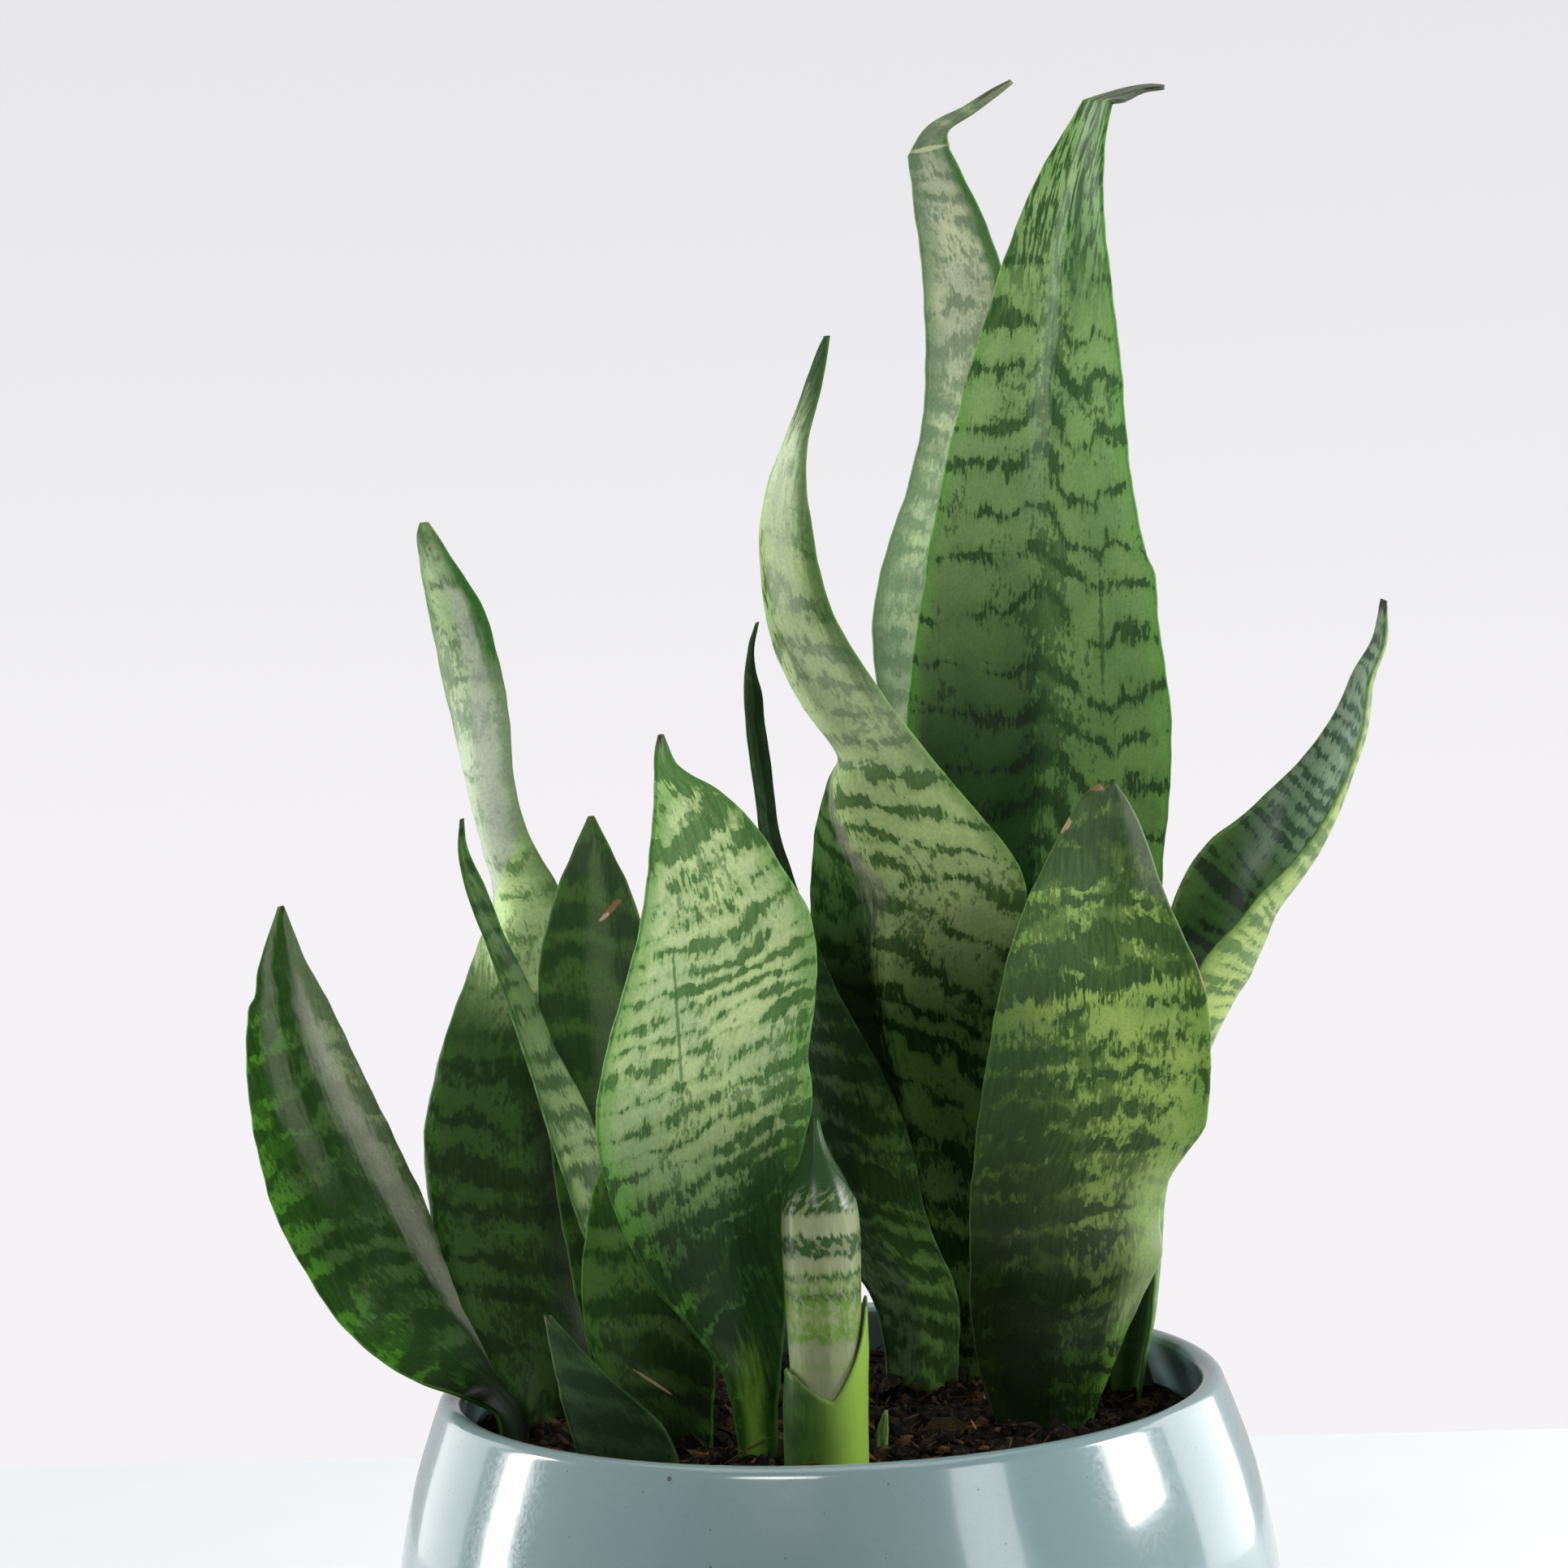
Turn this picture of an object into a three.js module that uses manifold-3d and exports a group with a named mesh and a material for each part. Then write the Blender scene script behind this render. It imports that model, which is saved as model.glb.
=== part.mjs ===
// Potted ceylon bowstring hemp: banded sword leaves standing in a round glazed pot of soil.
// Millimetres, +Z up, the origin at the middle of the pot's flat underside, the viewer at -Y.

import * as THREE from 'three';
import { mergeVertices } from 'three/addons/utils/BufferGeometryUtils.js';
import Module from 'manifold-3d';

// Driving dimensions
const potHeight = 120;
const rimRadius = 70;
const bellyRadius = 80;
const bellyHeight = 62;
const footRadius = 48;
const wall = 4.4;
const floorThickness = 6;
const potSides = 40;
const wallSteps = 8;

const soilLevel = 111;
const soilMound = 1.5;
const soilRoughness = 0.7;
const soilRings = [66.2, 59, 49, 38, 26, 13];
const holeHeadroom = 4;
const clearance = 0.35;
const rootDepth = 11;

const bladeColumns = 6;
const midThickness = { root: 3.0, tip: 1.3 };
const edgeThickness = 0.9;

const rimLevel = potHeight;
const rootLevel = soilLevel - rootDepth;

// Every flat leaf is given by its two margins, station by station from the root to the tip.
// A row reads: left margin x y z, right margin x y z, bow. The bow is how far the midrib lies
// behind the straight line between the margins, so a hollow front has a positive bow. Where the
// rows stand close together one step between them is enough.
const leaves = {
  leaf_far_left: {
    steps: 1,
    rows: [
      [-58.5, -7, 101, -55, 1, 101, -1.5],
      [-58.7, -7.5, 111, -55.8, 1, 110.5, -1.5],
      [-59.4, -8, 116.5, -57.4, 1.5, 114.5, -1.5],
      [-61.9, -10, 118.9, -58.5, 2.5, 117, -2],
      [-65.6, -13.5, 121.6, -60.1, 3.5, 119.9, -2],
      [-71.3, -12, 123.4, -61.5, 4.5, 122.8, -2.5],
      [-77.9, -9, 126.3, -63.6, 5.5, 127.6, -3],
      [-85.8, -4, 131.9, -66.8, 7, 134, -4],
      [-93.3, 0, 141.8, -69.7, 8, 142.9, -4.5],
      [-99, 2, 153.2, -72.8, 9, 152.7, -5],
      [-102.1, 4, 165.5, -78.4, 10, 165.3, -4.5],
      [-103.4, 5, 177.6, -84, 11, 177.7, -4],
      [-103, 5.5, 186.3, -87.7, 12, 185.7, -3.2],
      [-102.7, 6, 189.5, -89.5, 12, 190, -2.6],
      [-101.8, 6, 191, -90.2, 12, 191.4, -2.4],
      [-101.5, 6.5, 192.8, -91, 12, 193, -2.2],
      [-101, 7, 196, -92.9, 12, 196.2, -1.8],
      [-99.5, 9, 201.5, -95.1, 12, 202.2, -1],
      [-97.6, 11, 207.2, -96.8, 12, 207.4, 0],
    ],
  },
  leaf_tall_left: {
    steps: 1,
    rows: [
      [-58.5, 9, 101, -48.5, 12, 101, -1.5],
      [-59.5, 10, 112, -48.5, 13, 112, -2],
      [-62, 12, 120, -48.5, 16, 119, -2.5],
      [-68, 13, 132, -47.5, 20, 130, -3],
      [-72, 14, 147, -46.5, 23, 145, -3.5],
      [-73, 14, 163, -45.5, 24, 161.5, -4],
      [-70.5, 15, 175.5, -45, 24, 174, -4],
      [-67, 17, 186, -44.7, 23, 184.5, -4.5],
      [-62, 20, 198.5, -45.2, 20, 197.5, -5],
      [-59, 23, 206.5, -46, 16, 207.5, -5],
      [-60.3, 22, 217, -50.8, 13, 217.5, -4],
      [-62.4, 20, 228, -52.5, 10, 228, -3.5],
      [-64.7, 18, 240, -53, 9, 240.5, -3],
      [-66.3, 16, 250.5, -54.4, 9, 250, -2.5],
      [-67.4, 14.5, 260, -57, 9, 260, -2],
      [-68.2, 13.5, 268, -61, 9, 267.5, -1.5],
      [-68.6, 12, 275, -66.4, 11, 275.3, -0.3],
    ],
  },
  leaf_pointed_left: {
    steps: 2,
    rows: [
      [-42, 8, 101, -33, 8, 101, 1],
      [-42, 8, 113, -33, 8, 113, 1.5],
      [-46.5, 7, 140, -29, 8, 139, 2.5],
      [-48.7, 6, 158, -27.5, 8, 157, 3],
      [-50, 6, 180, -27, 8.5, 178, 3],
      [-50, 7, 194.5, -29, 10, 193.5, 2.5],
      [-48, 8, 202.5, -31.2, 11, 202, 2],
      [-45.6, 9, 210, -33.6, 12, 209.5, 1.2],
      [-42.8, 11, 216, -36.4, 13, 215.5, 0.6],
      [-40.3, 13, 221.5, -39.1, 13, 221.5, 0],
    ],
  },
  leaf_narrow_left: {
    steps: 1,
    rows: [
      [-36.5, -2, 101, -30.5, -2, 101, 1],
      [-37, -2, 114, -30.5, -2, 114, 1],
      [-39.6, -3, 135.5, -33.5, 2, 135, 1.5],
      [-43, -4, 149, -37.4, 4, 150.5, 2],
      [-47.6, -6, 165.5, -41.5, 5, 167.5, 2],
      [-51.2, -8, 180, -47.2, 2, 180.5, 1.5],
      [-54.3, -8, 190, -50.6, -1, 191, 1],
      [-57.5, -8, 200.5, -55.3, -4.5, 201, 0.5],
      [-60.3, -8, 208.5, -58.1, -6, 209.5, 0.3],
      [-61.9, -8, 216.5, -60.4, -7, 217, 0.2],
      [-61.5, -8, 222, -60.7, -8, 222.3, 0],
    ],
  },
  leaf_front_broad: {
    steps: 1,
    rows: [
      [-16, -26, 100, -9.6, -24, 100, 1.5],
      [-16, -26, 110.5, -9.6, -24, 110.5, 1.8],
      [-16.6, -27, 118.5, -9.4, -23.5, 118.5, 2],
      [-18.2, -28, 126.2, -9.2, -23, 126.2, 2.2],
      [-23.5, -29, 134.5, -8.2, -21.5, 136, 2.5],
      [-30, -30, 143, -7, -20.5, 145.5, 2.5],
      [-34.5, -31, 153, -5.2, -20, 155, 2.5],
      [-37.2, -32, 162.5, -3.2, -20, 163.5, 2.5],
      [-37.8, -33, 170, -1.3, -20.5, 171, 2.5],
      [-36.7, -33, 178, -1.6, -21, 179, 2.5],
      [-34.4, -33, 186, -0.3, -22, 188, 2.5],
      [-31.5, -33, 195, 0.5, -23, 196, 2.5],
      [-29, -32, 203.5, -0.6, -24, 204, 2.2],
      [-27.7, -32, 211, -4.3, -24, 211, 2],
      [-26.7, -31, 218, -9.4, -25, 219.5, 1.5],
      [-26, -30, 224.5, -15.2, -26, 225.5, 1],
      [-25.6, -28.5, 230, -20, -26, 230, 0.5],
      [-25, -27, 235.2, -24.2, -26, 235.2, 0],
    ],
  },
  leaf_low_left: {
    steps: 2,
    rows: [
      [-32, -17, 101, -21.5, -17, 101, 1.5],
      [-32.5, -17.5, 111, -21, -17.5, 111, 2],
      [-37, -18, 121, -20.5, -16, 119, 2.5],
      [-41, -19, 129, -20, -15, 127.5, 2.5],
      [-42.4, -19, 138, -21, -14.5, 137, 2.5],
      [-41.8, -19, 147, -22.5, -14.5, 146, 2],
      [-40, -18, 156, -25.5, -14.5, 155, 1.5],
      [-37, -16.5, 164, -30, -15, 163.5, 0.6],
      [-34, -15.5, 169, -33, -15.5, 169, 0],
    ],
  },
  leaf_short_left: {
    steps: 2,
    rows: [
      [-41, -34, 101, -27, -34, 101, 1.5],
      [-42.5, -35, 113, -26, -35, 113, 2],
      [-44, -35, 119, -28, -34.5, 119, 2],
      [-45.4, -34.5, 125, -34, -34, 125, 1.3],
      [-46.6, -34, 131, -40, -33.5, 131, 0.7],
      [-47.9, -32.5, 138.5, -46.6, -32.5, 138.5, 0],
    ],
  },
  leaf_curved_middle: {
    steps: 1,
    rows: [
      [20.5, 40, 101, 33, 36.5, 101, -1.5],
      [20.3, 40.5, 111, 33.3, 36.5, 111, -2],
      [17.8, 41, 121, 34, 34.5, 121, -2.5],
      [15, 41, 132, 34.8, 32, 132.5, -3],
      [8.7, 40, 154, 36, 27, 155, -4],
      [3, 39, 175, 37.3, 22.5, 175, -7],
      [0.3, 37, 191, 38, 19, 191, -10],
      [0.4, 33, 205, 40, 15, 204, -12],
      [1, 30.5, 211, 38.5, 13.5, 209.5, -12],
      [2.2, 29, 219, 33.5, 11.5, 216.8, -11.5],
      [4.8, 27.5, 226.5, 26, 9.5, 226, -9.5],
      [7.3, 26.3, 232, 20.8, 8, 233, -7.5],
      [5, 25, 235.7, 17.8, 7, 237, -6.3],
      [1.7, 24, 239.3, 15, 6, 241, -5.5],
      [-2.3, 22.5, 246, 10.2, 4, 248.7, -4.5],
      [-5, 20.5, 253.8, 6.3, 3, 256, -4],
      [-6.1, 18, 262, 4.2, 2, 263.5, -4],
      [-6, 15, 273.5, 2.8, 1, 273, -3.5],
      [-3.7, 12, 281.3, 2.2, 0, 280, -3],
      [-0.3, 9, 288.5, 2.8, -1, 287.5, -2],
      [3, 4.5, 297.5, 5.5, -1, 296.5, -1],
      [6.4, 0, 306, 7.5, -0.5, 306, 0],
    ],
  },
  leaf_dark_middle: {
    steps: 1,
    rows: [
      [11, 21, 101, 24, 27, 101, 1],
      [11, 21, 112, 24.3, 27, 112, 1.5],
      [8.8, 20, 129, 25, 27, 127.5, 2],
      [3.9, 19, 145, 19.7, 26.5, 143, 2],
      [1.3, 18, 156, 17.4, 25, 157, 2],
      [-1.8, 16, 171, 12.6, 22, 170.7, 2],
      [-3.6, 14.5, 185, 5.5, 18, 185, 1.5],
      [-4.6, 13, 195.5, 1.4, 16, 195, 1.2],
      [-6.1, 12, 204.6, -1.2, 15, 203.2, 1],
      [-7.8, 11, 212.2, -3.4, 14, 210.5, 0.9],
      [-8.8, 10, 218.5, -5, 13, 216.5, 0.8],
      [-9, 9.5, 223.4, -5.8, 12.5, 223.2, 0.7],
      [-9.7, 9, 229.3, -6.2, 12.5, 229.5, 0.8],
      [-10.2, 9, 236.8, -7, 12.5, 237, 0.8],
      [-10.3, 9, 242.3, -7.4, 12.5, 243, 0.7],
      [-10.1, 9.5, 246, -8.3, 12, 246.7, 0.4],
      [-9.3, 10, 251.2, -8.5, 11.5, 251.2, 0.2],
      [-8, 10.5, 255.6, -7.4, 11, 255.9, 0],
    ],
  },
  leaf_front_right: {
    steps: 1,
    rows: [
      [29.5, -6, 100, 46.5, -6, 100, -5],
      [29.4, -6, 110, 47.3, -6, 109.5, -5.5],
      [26.1, -8, 122.4, 52.1, -6, 120.5, -5.5],
      [25.1, -9, 134, 56.3, -7, 132.5, -4.5],
      [25.3, -11, 142.3, 59, -10, 140.5, -3.5],
      [25.5, -11, 148.7, 59, -9, 147, -3],
      [25.9, -11.5, 154, 60, -9, 151.7, -2.2],
      [26.6, -12, 159.5, 63.6, -9, 157.3, -1.5],
      [27.5, -12.5, 165.2, 67.6, -9.5, 162.8, -0.8],
      [28.4, -13, 171, 68.6, -10, 168.2, 0],
      [30.1, -14, 179.4, 69, -11, 176.2, 0.8],
      [32.1, -15, 188.6, 68.5, -11, 187.2, 1.5],
      [34.7, -15, 197, 65.6, -10, 195.5, 2],
      [37.8, -15, 204.7, 62.4, -10, 203.5, 2],
      [41.3, -14, 211, 60.2, -10, 210.7, 1.8],
      [45.1, -14, 217.5, 57.7, -10, 218, 1.2],
      [49.7, -13, 222.6, 55.2, -11, 223, 0.3],
    ],
  },
  leaf_tallest: {
    steps: 1,
    rows: [
      [41.5, 36, 101, 55, 32, 101, 2],
      [41.2, 37, 110.5, 55.3, 31, 110.5, 2.5],
      [38.3, 37.5, 121.5, 57, 29.5, 121.5, 3],
      [35, 38, 131.5, 59.8, 31, 131, 3.5],
      [30.5, 38.7, 144, 62.5, 33, 143.5, 4],
      [26.8, 39, 156.5, 64.4, 33, 156, 4.5],
      [23.5, 39, 170, 65.7, 32.5, 169, 5],
      [21.6, 39, 183.5, 66.1, 32, 182.5, 5],
      [20, 38, 207, 67.3, 31, 205.5, 5],
      [19.9, 37.5, 227.5, 69.6, 30, 225.5, 5],
      [20.3, 37, 240, 69.9, 29.5, 238, 5],
      [22.8, 36, 255.5, 68.1, 28.5, 254.8, 5],
      [24.7, 35, 265.5, 67.8, 27.5, 263, 4.5],
      [25.3, 34.5, 269, 66.2, 27, 266.5, 4.5],
      [27.1, 33, 277, 64.6, 25.5, 274.7, 4.3],
      [29.3, 32, 286, 63.2, 24, 284.5, 4],
      [33.5, 29, 301, 62.2, 21, 299.4, 3.5],
      [37.7, 27, 312.8, 61.1, 19, 311.2, 3],
      [41.8, 24, 324.3, 59.7, 16, 322.8, 2.5],
      [46.6, 22, 335.1, 59.1, 14, 332.5, 2],
      [51.3, 20, 343, 59.6, 13, 341, 1.3],
      [56.6, 17, 350.5, 61, 11, 348.6, 0.6],
      [59.6, 15, 350.8, 61.4, 10, 348.4, 0.4],
      [63.7, 14, 351.6, 63.2, 10, 348.5, 0.2],
      [67.6, 13, 351.8, 67, 10.5, 350.2, 0],
      [71, 12, 351.2, 70.8, 11, 350.7, 0],
    ],
  },
  leaf_back_tall: {
    steps: 1,
    rows: [
      [25.5, 49, 101, 36, 49, 101, 1],
      [25.5, 50, 112, 36, 50, 112, 1.5],
      [26, 52, 138, 44, 52, 138, 2],
      [24, 53, 154, 45.2, 52.5, 154, 2.5],
      [22, 54, 171, 45.6, 53, 170.5, 2.5],
      [19.1, 56, 203.4, 44.8, 55, 203, 2.5],
      [17.8, 58, 234, 43.1, 57, 233.6, 2.5],
      [15.1, 58.5, 247.2, 40.9, 57.5, 246.7, 2.5],
      [15.3, 58.5, 260.5, 39.5, 58, 260, 2],
      [18.8, 58.5, 273.2, 40, 59, 272.7, 2],
      [23.4, 59, 285.4, 42.2, 60, 285, 1.5],
      [26.9, 59.5, 299.4, 44.5, 61, 299, 1.5],
      [27.9, 60, 313.7, 45.7, 62, 313.7, 1.5],
      [27.8, 60.5, 328, 44.3, 62, 327, 1.2],
      [26.8, 61, 340.4, 40.5, 62, 339, 1],
      [25.9, 61.5, 351.3, 34.5, 61, 352.2, 0.4],
      [30, 61, 357, 34.3, 60.5, 355.6, 0.2],
      [37.6, 60.5, 360.7, 39.7, 60, 359, 0],
      [42.2, 60.5, 363.3, 43.7, 60, 361.8, 0],
      [46.9, 60, 365.5, 47.7, 60, 364.7, 0],
    ],
  },
  leaf_right: {
    steps: 2,
    rows: [
      [52, 19.5, 101, 56.5, 15, 101, 2.5],
      [52.3, 19.8, 111, 57, 15, 111, 2.5],
      [53.5, 21, 127.5, 60, 13.5, 128, 3.5],
      [56, 22, 150, 61.3, 11.5, 151, 4.5],
      [60.5, 24, 172, 65.5, 9.5, 173, 8],
      [65, 25.5, 190.5, 70.5, 8, 190, 13],
      [69.5, 27, 203, 76.8, 8, 196.7, 14],
      [75.8, 29, 211.7, 82, 8, 202.5, 12],
      [82.7, 30, 216.5, 87.8, 9, 207.6, 9.5],
      [89.3, 31, 222, 93.5, 10, 214, 7],
      [95.7, 31, 228, 98.6, 12, 222, 4],
      [101.4, 31, 235.5, 103, 15, 231.6, 2.5],
      [105, 30, 243, 105.3, 18, 240.5, 1.5],
      [108.6, 29, 249, 109.2, 22, 247.5, 0.8],
      [110.2, 27, 256.5, 111, 26, 256, 0],
    ],
  },
  sprout_front: {
    steps: 1,
    rows: [
      [8.3, -25.5, 104, 10.5, -25, 104, 0.4],
      [8, -25.8, 112, 10, -25.3, 112, 0.4],
      [8.2, -26, 116, 9.8, -25.6, 116, 0.3],
      [8.9, -26, 119.5, 9.7, -25.8, 119.5, 0],
    ],
  },
};

// The young leaf in front is still rolled up: a round spear with its tip drawn to a point.
// A row reads: axis x y z, radius.
const rolledLeaf = [
  [-1.6, -32, 100, 5.9],
  [-1.4, -32, 112, 6.0],
  [-1.1, -32, 126, 6.0],
  [-1.0, -32, 139, 6.5],
  [-0.9, -32, 150, 6.8],
  [-0.9, -32, 155.5, 6.5],
  [-0.9, -32, 160, 4.6],
  [-0.9, -31.5, 163.5, 2.5],
  [-1.0, -31, 166.5, 1.3],
  [-1.0, -30.5, 170, 0.5],
];
const rolledSides = 14;
const rolledSteps = 2;

// The sheath is a short outer leaf wrapped round the foot of the rolled one. Its rim dips in
// front and runs up to a point behind on the right. A pair reads: bearing in degrees from +X
// towards +Y, height of the rim.
const sheathWall = 0.9;
const sheathSides = 20;
const sheathLevels = 5;
const sheathRim = [
  [0, 133], [18, 137.5], [40, 133], [90, 127], [140, 124.5], [170, 126.5], [186, 128],
  [205, 126], [235, 122.5], [262, 120.5], [285, 122], [310, 125], [335, 129],
];

const wasm = await Module();
wasm.setup();

function toManifold(geometry) {
  const bare = geometry.clone();
  bare.deleteAttribute('normal');
  bare.deleteAttribute('uv');
  const merged = mergeVertices(bare, 1e-4);
  return new wasm.Manifold(new wasm.Mesh({
    numProp: 3,
    vertProperties: new Float32Array(merged.attributes.position.array),
    triVerts: new Uint32Array(merged.index.array),
  }));
}

function toGeometry(manifold) {
  const mesh = manifold.getMesh();
  const geometry = new THREE.BufferGeometry();
  geometry.setAttribute('position', new THREE.BufferAttribute(mesh.vertProperties, 3));
  geometry.setIndex(new THREE.BufferAttribute(mesh.triVerts, 1));
  geometry.computeVertexNormals();
  return geometry;
}

// A closed surface from its points and triangles, with the triangles turned to face out
function closedSurface(points, triangles) {
  let volume = 0;
  const cross = new THREE.Vector3();
  for (const [a, b, c] of triangles) {
    volume += points[a].dot(cross.crossVectors(points[b], points[c])) / 6;
  }
  const facing = volume < 0 ? triangles.map(([a, b, c]) => [a, c, b]) : triangles;
  const geometry = new THREE.BufferGeometry();
  const coordinates = points.flatMap((p) => [p.x, p.y, p.z]);
  geometry.setAttribute('position', new THREE.Float32BufferAttribute(coordinates, 3));
  geometry.setIndex(facing.flat());
  geometry.computeVertexNormals();
  return geometry;
}

// Joins rings of equal length into a closed skin. Each end is closed by a cap across its ring.
function skinRings(rings, capTriangles) {
  const count = rings[0].length;
  const triangles = [];
  for (let i = 0; i + 1 < rings.length; i += 1) {
    for (let k = 0; k < count; k += 1) {
      const next = (k + 1) % count;
      const a = i * count + k;
      const b = i * count + next;
      triangles.push([a, b, b + count], [a, b + count, a + count]);
    }
  }
  const last = (rings.length - 1) * count;
  for (const [a, b, c] of capTriangles) {
    triangles.push([a, c, b], [last + a, last + b, last + c]);
  }
  return closedSurface(rings.flat(), triangles);
}

// Stations of a flat leaf, read off smooth curves through its margins and its bow
function leafStations({ rows, steps }) {
  const left = new THREE.CatmullRomCurve3(rows.map((r) => new THREE.Vector3(r[0], r[1], r[2])));
  const right = new THREE.CatmullRomCurve3(rows.map((r) => new THREE.Vector3(r[3], r[4], r[5])));
  const count = (rows.length - 1) * steps;
  const stations = [];
  for (let i = 0; i <= count; i += 1) {
    const along = i / count;
    const place = along * (rows.length - 1);
    const row = Math.min(Math.floor(place), rows.length - 2);
    stations.push({
      along,
      left: left.getPoint(along),
      right: right.getPoint(along),
      bow: THREE.MathUtils.lerp(rows[row][6], rows[row + 1][6], place - row),
    });
  }
  return stations;
}

// One ring round a blade: along the front from the left margin to the right, then back behind.
// The blade is thickest at the midrib. The grown ring stands clear of the blade all round.
function bladeRing(stations, index, grow) {
  const { along, left, right, bow } = stations[index];
  const before = stations[Math.max(index - 1, 0)];
  const after = stations[Math.min(index + 1, stations.length - 1)];
  const up = after.left.clone().add(after.right).sub(before.left).sub(before.right).normalize();
  const middle = left.clone().add(right).multiplyScalar(0.5);
  const across = right.clone().sub(left);
  const half = across.length() / 2 + grow;
  across.normalize();
  const behind = up.cross(across).normalize();
  const mid = THREE.MathUtils.lerp(midThickness.root, midThickness.tip, along);
  const midHere = Math.min(mid, Math.max(edgeThickness, half * 0.5));
  const front = [];
  const back = [];
  for (let k = 0; k <= bladeColumns; k += 1) {
    const s = (2 * k) / bladeColumns - 1;
    const point = middle.clone()
      .addScaledVector(across, s * half)
      .addScaledVector(behind, bow * (1 - s * s));
    const normal = across.clone().multiplyScalar(2 * bow * s).addScaledVector(behind, half).normalize();
    const thickness = edgeThickness + (midHere - edgeThickness) * (1 - s * s);
    front.push(point.clone().addScaledVector(normal, -thickness / 2 - grow));
    back.push(point.clone().addScaledVector(normal, thickness / 2 + grow));
  }
  return front.concat(back.reverse());
}

function bladeCap() {
  const columns = bladeColumns + 1;
  const triangles = [];
  for (let k = 0; k + 1 < columns; k += 1) {
    const frontHere = k;
    const frontNext = k + 1;
    const backHere = 2 * columns - 1 - k;
    const backNext = 2 * columns - 2 - k;
    triangles.push([frontHere, frontNext, backNext], [frontHere, backNext, backHere]);
  }
  return triangles;
}

function leafSolid(leaf) {
  const stations = leafStations(leaf);
  const rings = stations.map((station, i) => bladeRing(stations, i, 0));
  return skinRings(rings, bladeCap());
}

// The plain hole that a leaf stands in: its own root grown by the clearance and sunk a bit deeper
function leafHole(leaf) {
  const stations = leafStations(leaf);
  const holeTop = soilLevel + holeHeadroom;
  const clearOfSoil = stations.findIndex((s) => Math.min(s.left.z, s.right.z) > holeTop);
  const inSoil = stations.slice(0, clearOfSoil + 1);
  const rings = inSoil.map((station, i) => bladeRing(stations, i, clearance));
  rings.unshift(rings[0].map((p) => new THREE.Vector3(p.x, p.y, p.z - clearance)));
  return skinRings(rings, bladeCap());
}

function circleRing(x, y, z, radius, sides) {
  const ring = [];
  for (let k = 0; k < sides; k += 1) {
    const turn = (2 * Math.PI * k) / sides;
    ring.push(new THREE.Vector3(x + radius * Math.cos(turn), y + radius * Math.sin(turn), z));
  }
  return ring;
}

function fanCap(sides) {
  const triangles = [];
  for (let k = 1; k + 1 < sides; k += 1) triangles.push([0, k, k + 1]);
  return triangles;
}

function rolledSolid() {
  const axis = new THREE.CatmullRomCurve3(rolledLeaf.map((r) => new THREE.Vector3(r[0], r[1], r[2])));
  const count = (rolledLeaf.length - 1) * rolledSteps;
  const rings = [];
  for (let i = 0; i <= count; i += 1) {
    const place = i / rolledSteps;
    const row = Math.min(Math.floor(place), rolledLeaf.length - 2);
    const radius = THREE.MathUtils.lerp(rolledLeaf[row][3], rolledLeaf[row + 1][3], place - row);
    const p = axis.getPoint(i / count);
    rings.push(circleRing(p.x, p.y, p.z, radius, rolledSides));
  }
  return skinRings(rings, fanCap(rolledSides));
}

// Middle and radius of the rolled leaf at a height
function rolledAt(z) {
  const rows = rolledLeaf;
  let row = 0;
  while (row < rows.length - 2 && rows[row + 1][2] < z) row += 1;
  const t = THREE.MathUtils.clamp((z - rows[row][2]) / (rows[row + 1][2] - rows[row][2]), 0, 1);
  return [0, 1, 3].map((i) => THREE.MathUtils.lerp(rows[row][i], rows[row + 1][i], t));
}

function sheathRimAt(degrees) {
  const points = sheathRim.concat([[sheathRim[0][0] + 360, sheathRim[0][1]]]);
  let i = 0;
  while (points[i + 1][0] <= degrees) i += 1;
  const t = (degrees - points[i][0]) / (points[i + 1][0] - points[i][0]);
  return THREE.MathUtils.lerp(points[i][1], points[i + 1][1], t);
}

function sheathSolid() {
  const points = [];
  const triangles = [];
  const columns = 2 * (sheathLevels + 1);
  for (let k = 0; k < sheathSides; k += 1) {
    const degrees = (360 * k) / sheathSides;
    const turn = THREE.MathUtils.degToRad(degrees);
    const rimZ = sheathRimAt(degrees);
    const column = [];
    for (let i = 0; i <= sheathLevels; i += 1) {
      const z = THREE.MathUtils.lerp(rootLevel, rimZ, i / sheathLevels);
      const [x, y, radius] = rolledAt(z);
      const inner = (radius + clearance) / Math.cos(Math.PI / rolledSides);
      column.push([x, y, inner, inner + sheathWall, z]);
    }
    for (const [x, y, inner, outer, z] of column) {
      points.push(new THREE.Vector3(x + outer * Math.cos(turn), y + outer * Math.sin(turn), z));
    }
    for (const [x, y, inner, outer, z] of column.reverse()) {
      points.push(new THREE.Vector3(x + inner * Math.cos(turn), y + inner * Math.sin(turn), z));
    }
  }
  for (let k = 0; k < sheathSides; k += 1) {
    const next = (k + 1) % sheathSides;
    for (let i = 0; i < columns; i += 1) {
      const j = (i + 1) % columns;
      const a = k * columns + i;
      const b = next * columns + i;
      const c = next * columns + j;
      const d = k * columns + j;
      triangles.push([a, b, c], [a, c, d]);
    }
  }
  return closedSurface(points, triangles);
}

function sheathHole() {
  const rings = [rootLevel - clearance, soilLevel + holeHeadroom].map((z) => {
    const [x, y, radius] = rolledAt(z);
    const outer = (radius + clearance) / Math.cos(Math.PI / rolledSides) + sheathWall + clearance;
    return circleRing(x, y, z, outer / Math.cos(Math.PI / sheathSides), sheathSides);
  });
  return skinRings(rings, fanCap(sheathSides));
}

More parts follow.
